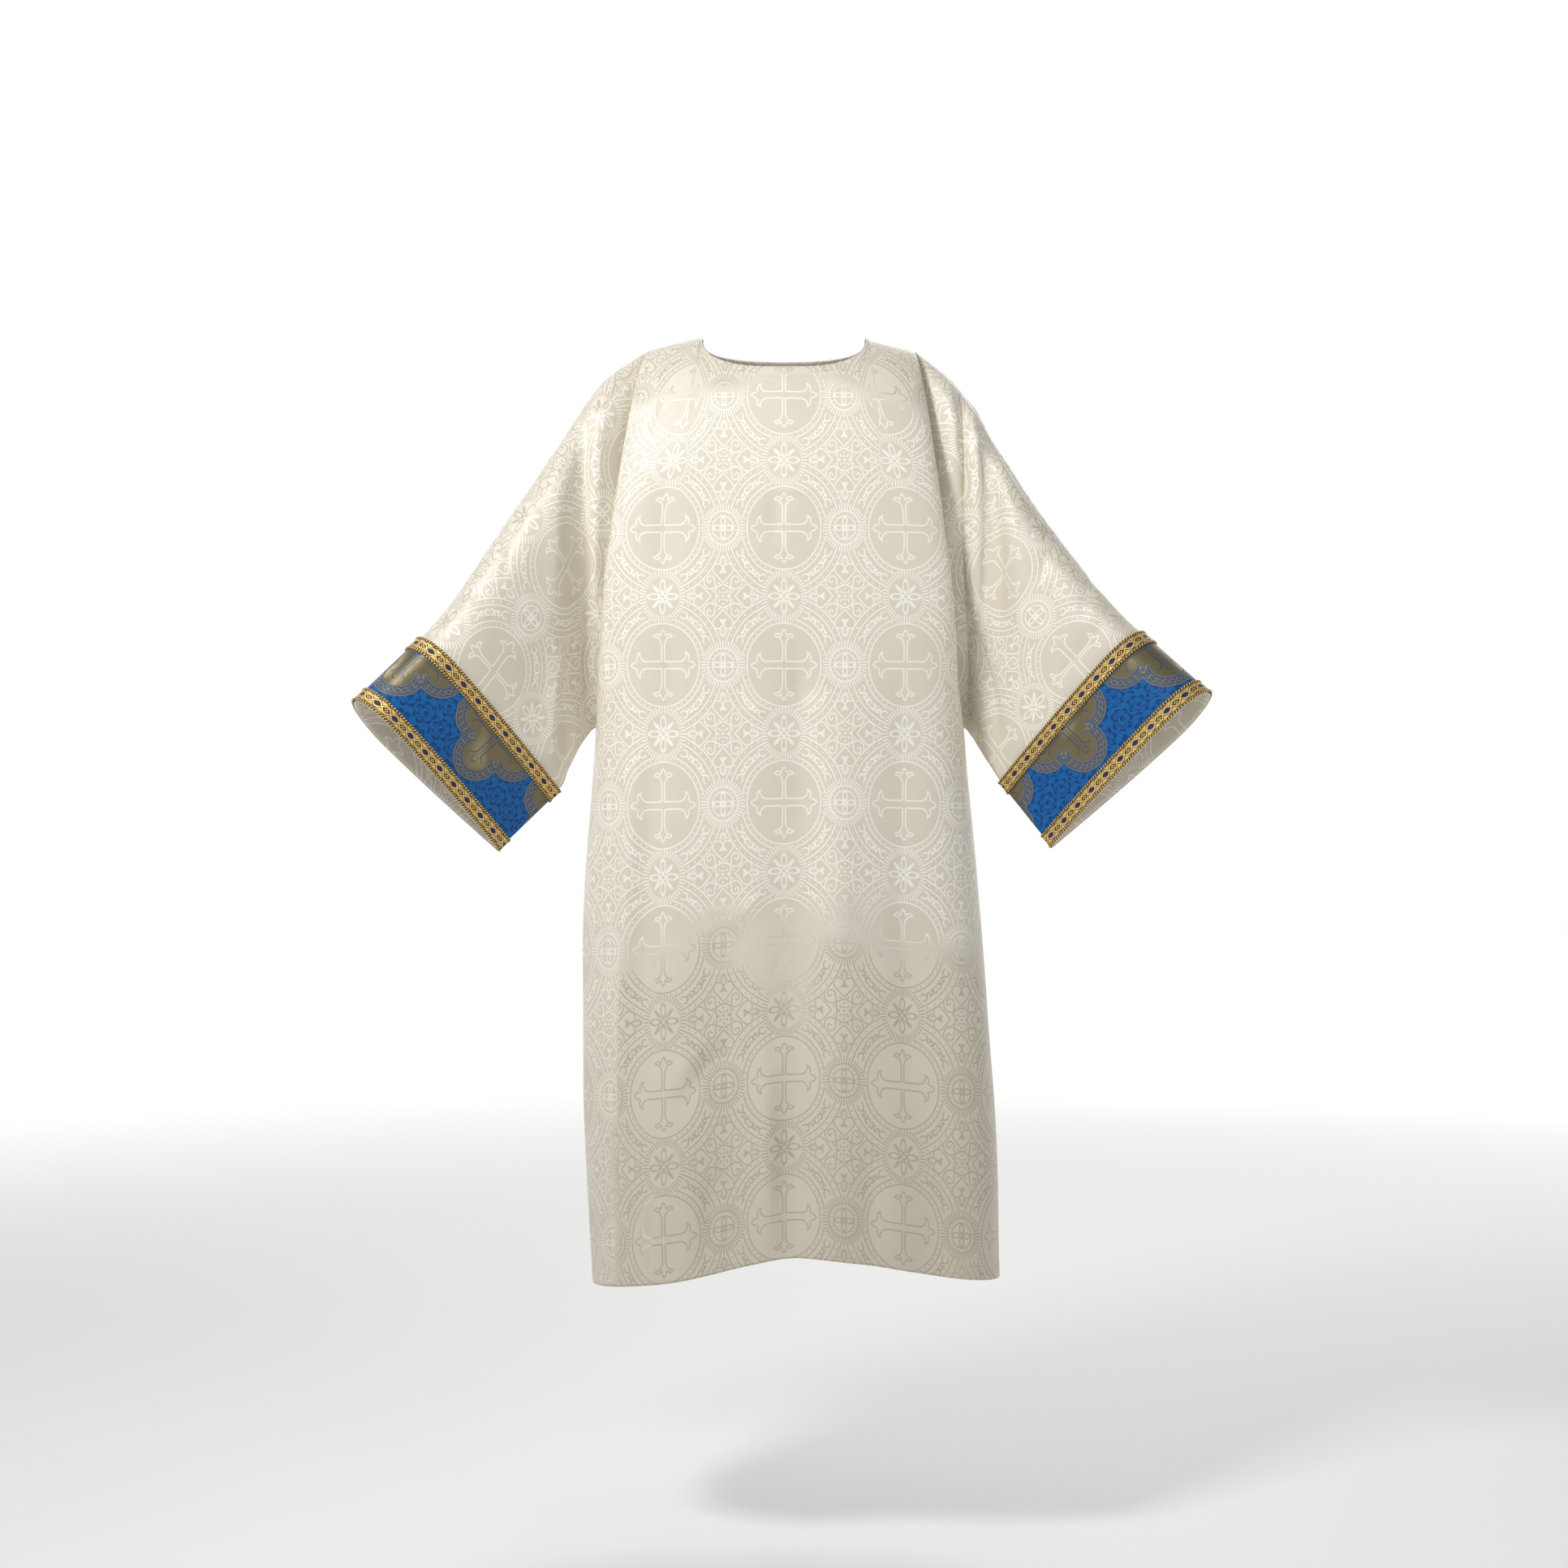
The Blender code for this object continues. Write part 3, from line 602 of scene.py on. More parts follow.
def flattened(points, first, second):
    """Lays a sleeve's grid flat at its true lengths, from a rough map of it.

    A coarse net of it is pulled until its links have the lengths that they have in the air.
    """
    rows = np.unique(np.linspace(0, points.shape[0] - 1, NET_ROWS).round().astype(int))
    columns = np.unique(np.linspace(0, points.shape[1] - 1, NET_COLUMNS).round().astype(int))
    net = points[np.ix_(rows, columns)]
    flat = np.stack([first[np.ix_(rows, columns)], second[np.ix_(rows, columns)]], axis=2)
    links = []
    for down, along in NET_LINKS:
        start = (slice(0, net.shape[0] - down), slice(max(-along, 0), net.shape[1] - max(along, 0)))
        end = (slice(down, None), slice(max(along, 0), net.shape[1] - max(-along, 0)))
        links.append((start, end, np.linalg.norm(net[end] - net[start], axis=2)))
    for _ in range(NET_PULLS):
        move = np.zeros_like(flat)
        for start, end, length in links:
            run = flat[end] - flat[start]
            size = np.maximum(np.linalg.norm(run, axis=2), 1e-9)
            pull = run * ((size - length) / size)[:, :, None] * NET_STEP
            move[start] += pull
            move[end] -= pull
        flat += move
    all_rows = np.arange(points.shape[0])
    all_columns = np.arange(points.shape[1])
    fine = []
    for part in range(2):
        across = np.array([np.interp(all_columns, columns, run) for run in flat[:, :, part]])
        fine.append(np.array([np.interp(all_rows, rows, run) for run in across.T]).T)
    return fine


def crease_rise(points, creases):
    """How far the creases lift each point of the cloth."""
    x = points[:, :, 0]
    z = points[:, :, 2]
    total = np.zeros_like(x)
    for crease in creases:
        run_x = crease.low_x - crease.top_x
        run_z = crease.low_z - crease.top_z
        length = math.hypot(run_x, run_z)
        t = ((x - crease.top_x) * run_x + (z - crease.top_z) * run_z) / length ** 2
        aside = ((x - crease.top_x) * run_z - (z - crease.top_z) * run_x) / length
        inside = np.clip(t, 0.0, 1.0)
        aside = aside - crease.bow * np.sin(math.pi * inside)
        fade = np.sin(math.pi * inside) ** CREASE_FADE
        total += crease.rise * fade * np.exp(-np.abs(aside / crease.width) ** CREASE_SHARPNESS)
    return total


def uneven_rise(points, seed):
    """A soft unevenness, the same at each run."""
    rows, columns = points.shape[:2]
    flat = points.reshape(-1, 3) / UNEVEN_PITCH
    values = [noise.noise(Vector((x, y, z * UNEVEN_DROP + seed))) for x, y, z in flat]
    return np.array(values).reshape(rows, columns) * UNEVEN_HEIGHT


def quad_corners(rows, columns, count):
    """Corner numbers of each quad of a grid whose rows hold count numbers."""
    r, c = np.meshgrid(np.arange(rows - 1), np.arange(columns), indexing="ij")
    r = r.ravel()
    c = c.ravel()
    after = (c + 1) % count
    return np.stack([r * count + c, r * count + after, (r + 1) * count + after, (r + 1) * count + c], 1)


def new_object(name, data):
    """An object with this mesh, lamp or camera, placed in the scene."""
    thing = bpy.data.objects.new(name, data)
    bpy.context.scene.collection.objects.link(thing)
    return thing


def cloth_piece(name, points, across, down, thickness, material, closed=False):
    """A thin shell through a grid of points, with its flat-cloth coordinates in metres."""
    rows, count = points.shape[:2]
    columns = count if closed else count - 1
    faces = quad_corners(rows, columns, count)
    mesh = bpy.data.meshes.new(name)
    mesh.from_pydata(points.reshape(-1, 3).tolist(), [], faces.tolist())
    corners = quad_corners(rows, columns, across.shape[1]).ravel()
    flat = np.stack([across.ravel()[corners], down.ravel()[corners]], axis=1)
    layer = mesh.uv_layers.new(name="cloth")
    layer.data.foreach_set("uv", flat.astype(np.float32).ravel())
    mesh.shade_smooth()
    mesh.materials.append(material)
    piece = new_object(name, mesh)
    if thickness:
        shell = piece.modifiers.new("cloth thickness", "SOLIDIFY")
        shell.thickness = thickness
        shell.offset = 0.0
        shell.use_quality_normals = True
    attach(piece, "root")
    return piece


class Number:
    """A number that a material works out at each point, written like plain arithmetic."""

    def __init__(self, tree, socket):
        self.tree = tree
        self.socket = socket

    def math(self, operation, *others):
        """The number that a math node makes of this one and the others."""
        node = self.tree.nodes.new("ShaderNodeMath")
        node.operation = operation
        for entry, value in zip(node.inputs, (self,) + others):
            feed(self.tree, entry, value)
        return Number(self.tree, node.outputs[0])

    def __add__(self, other):
        return self.math("ADD", other)

    def __sub__(self, other):
        return self.math("SUBTRACT", other)

    def __rsub__(self, other):
        return self.math("MULTIPLY_ADD", -1.0, other)

    def __mul__(self, other):
        return self.math("MULTIPLY", other)

    def __neg__(self):
        return self.math("MULTIPLY", -1.0)

    def __abs__(self):
        return self.math("ABSOLUTE")

    def sine(self):
        return self.math("SINE")

    def folded(self, pitch):
        """Distance from the nearest whole number of pitches."""
        return self.math("PINGPONG", pitch / 2)

    def tiled(self, pitch):
        """The same, but below 0 on the near side of each whole number of pitches."""
        return self.math("WRAP", pitch / 2, -pitch / 2)


def feed(tree, entry, value):
    """Gives a node's input a plain value, a worked-out number or a node's output."""
    if isinstance(value, Number):
        value = value.socket
    if isinstance(value, bpy.types.NodeSocket):
        tree.links.new(value, entry)
    else:
        entry.default_value = value


def parts_of(tree, vector):
    """The three numbers of a place or a direction."""
    split = tree.nodes.new("ShaderNodeSeparateXYZ")
    tree.links.new(vector, split.inputs[0])
    return [Number(tree, part) for part in split.outputs]


def vector_node(tree, operation, vector, *others):
    """A node that works on a vector, with fixed other vectors where it takes them."""
    node = tree.nodes.new("ShaderNodeVectorMath")
    node.operation = operation
    tree.links.new(vector, node.inputs[0])
    for entry, value in zip(node.inputs[1:], others):
        entry.default_value = value
    return node


class Spot:
    """A place on the flat cloth, by two numbers."""

    def __init__(self, x, y):
        self.x = x
        self.y = y
        self.tree = x.tree
        node = self.tree.nodes.new("ShaderNodeCombineXYZ")
        feed(self.tree, node.inputs[0], x)
        feed(self.tree, node.inputs[1], y)
        self.vector = node.outputs[0]

    def distance(self, x=0.0, y=0.0):
        node = vector_node(self.tree, "DISTANCE", self.vector, (x, y, 0.0))
        return Number(self.tree, node.outputs["Value"])

    def oval(self, x, y, half_x, half_y):
        """Distance outside an oval, roughly, and negative inside it."""
        scale = (1 / half_x, 1 / half_y, 0.0)
        move = (-x / half_x, -y / half_y, 0.0)
        scaled = vector_node(self.tree, "MULTIPLY_ADD", self.vector, scale, move)
        length = vector_node(self.tree, "LENGTH", scaled.outputs[0])
        return (Number(self.tree, length.outputs["Value"]) - 1.0) * min(half_x, half_y)

    def along(self, x, y, away_x, away_y):
        """Distance from (x, y) along a direction, which has length 1."""
        node = vector_node(self.tree, "DOT_PRODUCT", self.vector, (away_x, away_y, 0.0))
        return Number(self.tree, node.outputs["Value"]) - (x * away_x + y * away_y)

    def stroke(self, start, end, half_width):
        """A straight line from one place to another."""
        run = math.dist(start, end)
        away_x = (end[0] - start[0]) / run
        away_y = (end[1] - start[1]) / run
        along = self.along(*start, away_x, away_y)
        aside = self.along(*start, -away_y, away_x)
        return overlap(abs(aside) - half_width, -along, along - run)

    def angle(self):
        return self.y.math("ARCTAN2", self.x)

    def steeper(self):
        """The same place mirrored at the diagonal, so that x is the larger number."""
        return Spot(self.x.math("MAXIMUM", self.y), self.x.math("MINIMUM", self.y))


def line(distance, half_width):
    """A line along the edge of a shape, as a shape of its own."""
    return abs(distance) - half_width


def union(*shapes):
    """The shapes joined, each a distance that is below 0 inside it."""
    result = shapes[0]
    for shape in shapes[1:]:
        result = result.math("MINIMUM", shape)
    return result


def overlap(*shapes):
    """What lies inside all of the shapes."""
    result = shapes[0]
    for shape in shapes[1:]:
        result = result.math("MAXIMUM", shape)
    return result


def rescaled(value, low, high, to_low, to_high):
    """A soft turn from to_low to to_high while the value runs from low to high."""
    node = value.tree.nodes.new("ShaderNodeMapRange")
    node.interpolation_type = "SMOOTHSTEP"
    feed(value.tree, node.inputs["Value"], value)
    node.inputs["From Min"].default_value = low
    node.inputs["From Max"].default_value = high
    node.inputs["To Min"].default_value = to_low
    node.inputs["To Max"].default_value = to_high
    return Number(value.tree, node.outputs["Result"])


def painted(shape, softness):
    """1 inside a shape and 0 outside it, with a soft edge."""
    return rescaled(shape, softness, -softness, 0.0, 1.0)


def ovals(spot, rows):
    """Ovals, each by its middle and its two half sizes."""
    return union(*[spot.oval(*row) for row in rows])


# The damask's figures, in shares of one repeat, whose roundel is centred at (0, 0)
HALF_LINE = 0.0052
FIGURE_SOFTNESS = 0.0022
ROUNDEL_RINGS = (0.304, 0.345, 0.457, 0.505)
DotRing = namedtuple("DotRing", "radius count size")
ROUNDEL_DOTS = (DotRing(0.325, 44, 0.0062), DotRing(0.482, 48, 0.0068))
SCROLL_RADIUS = 0.401
RAY_HALF = 0.0048
# Each by its inner and its outer radius and the number of its rays
SMALL_ROSE_RAYS = (0.126, 0.176, 44)
LARGE_ROSE_RAYS = (0.140, 0.192, 46)
SMALL_ROSE_DOTS = DotRing(0.104, 20, 0.005)
SMALL_ROSE_INNER = 0.086
SMALL_ROSE_OUTER = 0.121
SMALL_ROSE_OUTER_HALF = 0.0055
SMALL_ROSE_PETAL = (0.046, 0.0, 0.032, 0.018)
LARGE_ROSE_PETAL = (0.075, 0.0, 0.047, 0.021)
LARGE_ROSE_LEAF = (0.078, 0.0, 0.042, 0.013)
LARGE_ROSE_EYE = 0.018
# The lattice between the roundels stays outside their outermost ring
LATTICE_EDGE = 0.512

# A figure is drawn with arcs, each the part of a circle's line between its limits, with strokes,
# each by its two ends and half its width, and with ovals, each by its middle and half sizes
Arc = namedtuple("Arc", "x y radius low_x high_x low_y high_y half", defaults=[None] * 4 + [HALF_LINE])
Figure = namedtuple("Figure", "arcs strokes ovals", defaults=[(), (), ()])
# A quarter of the roundel's outlined cross with leaf ends
CROSS = Figure(
    arcs=(
        Arc(0.072, 0.148, 0.058, high_x=0.070, low_y=0.148),
        Arc(0.052, 0.202, 0.025, low_y=0.202),
        Arc(-0.035, 0.214, 0.055, low_y=0.214),
        Arc(0.138, 0.084, 0.058, low_x=0.138, high_y=0.088),
        Arc(0.178, 0.052, 0.042, low_x=0.184, low_y=0.030),
        Arc(0.225, -0.030, 0.054, low_x=0.222),
    ),
    strokes=(
        ((0.012, 0.026), (0.012, 0.150), HALF_LINE),
        ((0.014, 0.026), (0.138, 0.026), HALF_LINE),
    ),
)
# Half a heart, whose tip points at the middle of the lattice
HEART = Figure(
    arcs=(Arc(0.197, 0.042, 0.041, low_x=0.166),),
    strokes=(
        ((0.098, 0.0), (0.164, 0.067), HALF_LINE),
        ((0.202, 0.0), (0.168, 0.027), HALF_LINE),
    ),
)
# Half a sprig beyond the hearts: a bud and a seed with small leaves
SPRIG = Figure(
    strokes=[
        ((0.240 + step, 0.008), (0.262 + step, 0.034 - step / 2), 0.0045)
        for step in (0.0, 0.016, 0.032)
    ],
    ovals=((0.289, 0.0, 0.013, 0.008), (0.342, 0.0, 0.024, 0.009)),
)
# A quarter of the bowed lines that tie the hearts together
BOWS = Figure(
    arcs=(
        Arc(0.100, 0.116, 0.031, low_y=0.114),
        Arc(0.115, 0.116, 0.016, high_y=0.116),
        Arc(0.100, 0.108, 0.056, low_x=0.078, high_y=0.126),
    ),
    strokes=(
        ((0.056, 0.0), (0.069, 0.116), HALF_LINE),
        ((0.0, 0.086), (0.080, 0.055), HALF_LINE),
    ),
)
# A quarter of the seeds and leaves in the middle of the lattice
STAR = Figure(
    strokes=(
        ((0.022, 0.020), (0.036, 0.042), 0.0055),
        ((0.022, 0.084), (0.040, 0.102), 0.0050),
        ((0.074, 0.022), (0.084, 0.044), 0.0045),
    ),
    ovals=(
        (0.0, 0.0, 0.014, 0.007),
        (0.0, 0.026, 0.012, 0.005),
        (0.043, 0.0, 0.009, 0.011),
        (0.0, 0.056, 0.009, 0.007),
    ),
)
# Curls and forked leaves, half of what a quarter of the roundel's band holds
SCROLLS = Figure(
    arcs=(
        Arc(0.020, 0.006, 0.020, low_x=0.004, half=0.0062),
        Arc(0.052, -0.004, 0.019, low_y=-0.012, half=0.0062),
    ),
    strokes=(
        ((0.030, 0.026), (0.052, -0.022), 0.0060),
        ((0.094, 0.000), (0.122, 0.030), 0.0060),
        ((0.094, 0.000), (0.128, -0.026), 0.0060),
        ((0.076, -0.020), (0.098, 0.002), 0.0065),
        ((0.122, 0.030), (0.150, 0.022), 0.0050),
        ((0.128, -0.026), (0.158, -0.018), 0.0050),
    ),
    ovals=((0.074, 0.016, 0.013, 0.008),),
)


def dot_ring(radius, angle, ring):
    """A ring of dots; it takes the distance and the angle from the ring's centre."""
    pitch = 2 * math.pi / ring.count
    aside = (angle + pitch / 2).folded(pitch) * ring.radius
    return Spot(aside, radius - ring.radius).distance() - ring.size


def rays(radius, angle, inner, outer, count):
    """Fine straight rays between two circles."""
    pitch = 2 * math.pi / count
    aside = angle.folded(pitch) * ((inner + outer) / 2) - RAY_HALF
    return overlap(aside, inner - radius, radius - outer)


def arc(spot, x, y, radius, *limits, half):
    """Part of a circle's line, twice half wide: what lies inside all of the limits."""
    return overlap(line(spot.distance(x, y) - radius, half), *limits)


def drawn(spot, figure):
    """A figure's arcs, strokes and ovals as one shape."""
    shapes = []
    for row in figure.arcs:
        lows = ((row.low_x, spot.x), (row.low_y, spot.y))
        highs = ((row.high_x, spot.x), (row.high_y, spot.y))
        limits = [limit - at for limit, at in lows if limit is not None]
        limits += [at - limit for limit, at in highs if limit is not None]
        shapes.append(arc(spot, row.x, row.y, row.radius, *limits, half=row.half))
    shapes += [spot.stroke(*row) for row in figure.strokes]
    shapes += [spot.oval(*row) for row in figure.ovals]
    return union(*shapes)


def small_rose(spot):
    """Four outlined petals in a dotted ring, with rays round it."""
    radius = spot.distance()
    angle = spot.angle()
    inner_ring = line(radius - SMALL_ROSE_INNER, HALF_LINE)
    outer_ring = line(radius - SMALL_ROSE_OUTER, SMALL_ROSE_OUTER_HALF)
    petals = line(spot.steeper().oval(*SMALL_ROSE_PETAL), HALF_LINE)
    dots = dot_ring(radius, angle, SMALL_ROSE_DOTS)
    around = rays(radius, angle, *SMALL_ROSE_RAYS)
    return union(inner_ring, outer_ring, petals, dots, around), radius


def large_rose(spot):
    """Eight petals, outlined and solid by turns, on a plain disc with rays round it."""
    radius = spot.distance()
    corner = spot.steeper()
    petals = line(corner.oval(*LARGE_ROSE_PETAL), HALF_LINE)
    leaning = Spot((corner.x + corner.y) * math.sqrt(0.5), (corner.x - corner.y) * math.sqrt(0.5))
    leaves = leaning.oval(*LARGE_ROSE_LEAF)
    eye = line(radius - LARGE_ROSE_EYE, HALF_LINE)
    around = rays(radius, spot.angle(), *LARGE_ROSE_RAYS)
    return union(petals, leaves, eye, around), radius


def lattice_figure(spot):
    """Hearts, sprigs, bows and a small star between the roundels; it shows a quarter of them."""
    corner = spot.steeper()
    return union(drawn(corner, HEART), drawn(corner, SPRIG), drawn(spot, BOWS), drawn(spot, STAR))


def scroll_band(radius, angle):
    """Curls and forked leaves between two rings, in each quarter of the roundel."""
    aside = abs(angle - math.pi / 4) * SCROLL_RADIUS
    return drawn(Spot(aside, radius - SCROLL_RADIUS), SCROLLS)


def damask_figure(u, v):
    """1 on the woven figure and 0 on the ground, at a place on the flat cloth."""
    x = u.folded(REPEAT_WIDTH) * (1 / REPEAT_WIDTH)
    y = v.folded(REPEAT_LENGTH) * (1 / REPEAT_LENGTH)
    spot = Spot(x, y)
    radius = spot.distance()
    angle = spot.angle()
    rings = [line(radius - ring, HALF_LINE) for ring in ROUNDEL_RINGS]
    dots = [dot_ring(radius, angle, ring) for ring in ROUNDEL_DOTS]
    lattice = overlap(lattice_figure(Spot(0.5 - x, 0.5 - y)), LATTICE_EDGE - radius)
    shape = union(scroll_band(radius, angle), *rings, *dots, drawn(spot, CROSS), lattice)
    rose, rose_radius = small_rose(Spot(0.5 - x, y))
    shape = union(overlap(shape, SMALL_ROSE_RAYS[1] - rose_radius), rose)
    rose, rose_radius = large_rose(Spot(x, 0.5 - y))
    shape = union(overlap(shape, LARGE_ROSE_RAYS[1] - rose_radius), rose)
    return painted(shape, FIGURE_SOFTNESS)


def new_material(name):
    """A material with its shader, and the place on the flat cloth in metres."""
    material = bpy.data.materials.new(name)
    material.use_nodes = True
    tree = material.node_tree
    shader = tree.nodes["Principled BSDF"]
    place = tree.nodes.new("ShaderNodeUVMap")
    place.uv_map = "cloth"
    u, v, _ = parts_of(tree, place.outputs[0])
    return material, tree, shader, u, v


def noise_number(tree, u, v, scale, detail, stretch=1.0):
    """Even noise between 0 and 1 on the flat cloth."""
    node = tree.nodes.new("ShaderNodeTexNoise")
    node.inputs["Scale"].default_value = scale
    node.inputs["Detail"].default_value = detail
    tree.links.new(Spot(u, v * stretch).vector, node.inputs["Vector"])
    return Number(tree, node.outputs["Fac"])


def mixed(tree, factor, first, second):
    """One colour turning into another; each is a colour or a socket."""
    node = tree.nodes.new("ShaderNodeMix")
    node.data_type = "RGBA"
    node.clamp_factor = True
    feed(tree, node.inputs[0], factor)
    entries = [entry for entry in node.inputs if entry.type == "RGBA"]
    for entry, value in zip(entries, (first, second)):
        feed(tree, entry, value)
    return [result for result in node.outputs if result.type == "RGBA"][0]


def bumped(tree, shader, height, strength, distance):
    """Fine relief; the height is in shares of the distance."""
    node = tree.nodes.new("ShaderNodeBump")
    node.inputs["Strength"].default_value = strength
    node.inputs["Distance"].default_value = distance
    feed(tree, node.inputs["Height"], height)
    tree.links.new(node.outputs[0], shader.inputs["Normal"])


def dress(tree, shader, inputs):
    """Gives a shader its inputs by their names."""
    for name, value in inputs.items():
        feed(tree, shader.inputs[name], value)


# How a cloth takes the light: its roughness, how much smoother its shining parts are, how far
# its threads vary that, its sheen, and its relief, with the share of each part that makes it
Finish = namedtuple(
    "Finish", "roughness polish variation sheen sheen_roughness specular strength depth relief"
)
SATIN_FINISH = Finish(0.48, 0.10, 0.10, 0.12, 0.35, 0.45, 0.45, 0.0003, (0.70, 0.10, 0.25))
BROCADE_FINISH = Finish(
    0.52, 0.30, 0.12, 0.03, 0.40, 0.30, 0.50, 0.0004, (0.50, 0.30, 0.30, 0.12, 0.30)
)
BRAID_FINISH = Finish(0.54, 0.12, 0.20, 0.00, 0.50, 0.50, 0.60, 0.0004, (0.60, -0.30, 0.25, 0.40))


def finish_cloth(tree, shader, finish, tone, shining, threads, raised):
    """Colour, shine and relief of a cloth, which shines where shining is 1."""
    grain = (threads - 0.5) * finish.variation
    dress(tree, shader, {
        "Base Color": tone,
        "Roughness": shining * -finish.polish + finish.roughness + grain,
        "Sheen Weight": finish.sheen,
        "Sheen Roughness": finish.sheen_roughness,
        "Specular IOR Level": finish.specular,
    })
    height = raised[0] * finish.relief[0]
    for part, share in zip(raised[1:], finish.relief[1:]):
        height = height + part * share
    bumped(tree, shader, height, finish.strength, finish.depth)


# The damask's ground and figure; the figure's bright colour is a painted sheen where the satin
# catches the light, and its dull colour is painted shade
GROUND_CREAM = (0.800, 0.752, 0.642, 1.0)
GROUND_SHADE = (0.700, 0.646, 0.538, 1.0)
FIGURE_PAINTED_SHEEN = (0.960, 0.930, 0.840, 1.0)
FIGURE_PAINTED_SHADE = (0.530, 0.475, 0.380, 1.0)
FIGURE_SHARE = 0.95
# How much the ground's colour is painted darker where the figure's sheen is painted
PAINTED_GROUND_SHADE_SHARE = 0.4
# Painted shade: the cloth's colour turns warmer and darker between two depths below the
# shoulders, where less light falls
LOW_PAINTED_SHADE = (0.420, 0.350, 0.250, 1.0)
PAINTED_SHADE_DEPTHS = (0.60, 1.20)
PAINTED_SHADE_SHARE = 0.27
# Painted sheen: the figure is painted bright above the upper height and duller than the ground
# below the lower one, with patches between; it is also painted bright where the cloth faces the
# viewer's left, and duller on top
FIGURE_TURNS = (-1.00, -0.58)
PATCHINESS = 1.6
TURN_BAND = (0.28, 0.72)
SIDE_PAINTED_SHEEN = (0.45, 0.75)
TOP_PAINTED_SHADE = (0.15, 0.55)
TOP_PAINTED_SHADE_SHARE = 0.85
# Noise by its waves to the metre: the patches of painted sheen, the uneven ground and the satin's
# threads
PATCH_SCALE = 6.0
SHADE_SCALE = 9.0
SATIN_THREADS = 700.0
WARP_PITCH = 0.0007
WEFT_PITCH = 0.0009


def damask_material():
    """Satin cloth whose figure's colour is painted from sheen to shade as it hangs away from the light.
    """
    material, tree, shader, u, v = new_material("damask")
    figure = damask_figure(u, v)
    place = tree.nodes.new("ShaderNodeTexCoord")
    geometry = tree.nodes.new("ShaderNodeNewGeometry")
    height = parts_of(tree, place.outputs["Object"])[2]
    facing_x, _, facing_z = parts_of(tree, geometry.outputs["Normal"])
    # Painted sheen: the figure's colour turns bright high up and where the cloth faces the viewer's
    # left, and dull where it faces up
    raised = rescaled(height, *FIGURE_TURNS, 0.0, 1.0)
    sideways = rescaled(-facing_x, *SIDE_PAINTED_SHEEN, 0.0, 1.0)
    upwards = rescaled(facing_z, *TOP_PAINTED_SHADE, 0.0, TOP_PAINTED_SHADE_SHARE)
    patches = noise_number(tree, u, v, PATCH_SCALE, 2.0)
    turned = raised.math("MAXIMUM", sideways) - upwards + (patches - 0.5) * PATCHINESS
    # shine is 1 where the figure's sheen is painted bright and 0 where it is painted dull
    shine = rescaled(turned, *TURN_BAND, 0.0, 1.0)
    figure_tone = mixed(tree, shine, FIGURE_PAINTED_SHADE, FIGURE_PAINTED_SHEEN)
    shade = noise_number(tree, u, v, SHADE_SCALE, 3.0)
    # The ground's colour wavers at random, and is painted darker where the figure's sheen is painted
    shade = shade * (1.0 - PAINTED_GROUND_SHADE_SHARE) + shine * PAINTED_GROUND_SHADE_SHARE
    ground_tone = mixed(tree, shade, GROUND_CREAM, GROUND_SHADE)
    threads = noise_number(tree, u, v, SATIN_THREADS, 1.0, 0.12)
    cloth_tone = mixed(tree, figure * FIGURE_SHARE, ground_tone, figure_tone)
    # Painted shade, darker and warmer towards the hem
    low = rescaled(-height, *PAINTED_SHADE_DEPTHS, 0.0, PAINTED_SHADE_SHARE)
    warp = (u * (2 * math.pi / WARP_PITCH)).sine()
    weft = (v * (2 * math.pi / WEFT_PITCH)).sine()
    weave = figure * (weft - warp) + warp
    tone = mixed(tree, low, cloth_tone, LOW_PAINTED_SHADE)
    finish_cloth(tree, shader, SATIN_FINISH, tone, figure, threads, (figure, weave, threads))
    return material


BROCADE_REPEAT = 0.150
MEDALLION_PLACE = 0.020
# A medallion has four lobes, a border and a barbed field, in metres from its middle
LOBE_PLACE = 0.037
LOBE_RADIUS = 0.034
BORDER_WIDTH = 0.0150
BARB_REACH = 0.0235
BORDER_MIDDLE = 0.0075
BORDER_WAVES = 26.0
BORDER_SWING = 0.0030
LINE_HALF = 0.0005
LINE_SOFTNESS = 0.0003
# Fine lines run just inside both edges of the border
OUTER_EDGE = 0.0014
INNER_EDGE = 0.0012
EDGE_HALF = 0.0004
# The cross in the medallion, an arm of it, and its outlined tip
MEDALLION_CROSS = Figure(
    arcs=(Arc(0.030, 0.0135, 0.0095, low_x=0.029, high_y=0.0135, half=0.0009),),
    strokes=(
        ((-0.010, 0.0045), (0.036, 0.0045), 0.0010),
        ((-0.010, 0.0), (0.040, 0.0), 0.0006),
    ),
)
TIP_OVAL = (0.041, 0.0, 0.006, 0.004)
TIP_START = 0.037
TIP_HALF = 0.0007
# Where a medallion stands round each cuff, in metres from the overarm seam
MEDALLION_START = {-1: 0.132, 1: 0.012}
Repeat = namedtuple("Repeat", "width length")
# The vine: a round scroll open on one side, a curl in it, leaves, a flower and a stem
VINE_REPEAT = Repeat(0.030, 0.029)
VINE_RADIUS = 0.0112
VINE_HALF = 0.00055
VINE_SOFTNESS = 0.0002
VINE_GAP = 0.0090
VINE_LEAF_COUNT = 7
VINE_LEAVES = ((0.0, 0.0136, 0.0014, 0.0017), (0.0022, 0.0128, 0.0012, 0.0009))
CURL_PLACE = (0.0020, 0.0010)
CURL_RADIUS = 0.0062
CURL_GAP = 0.0040
CURL_LEAF_COUNT = 5
CURL_LEAF_TURN = 0.4
CURL_LEAF_RADIUS = 0.0086
CURL_LEAF = (0.0, 0.0090, 0.0014, 0.0013)
FLOWER_RADIUS = 0.0026
FLOWER_SWING = 0.0011
STEM_PLACE = (0.0150, 0.0170)
STEM_RADIUS = 0.0095
VINE_WANDER = 0.012
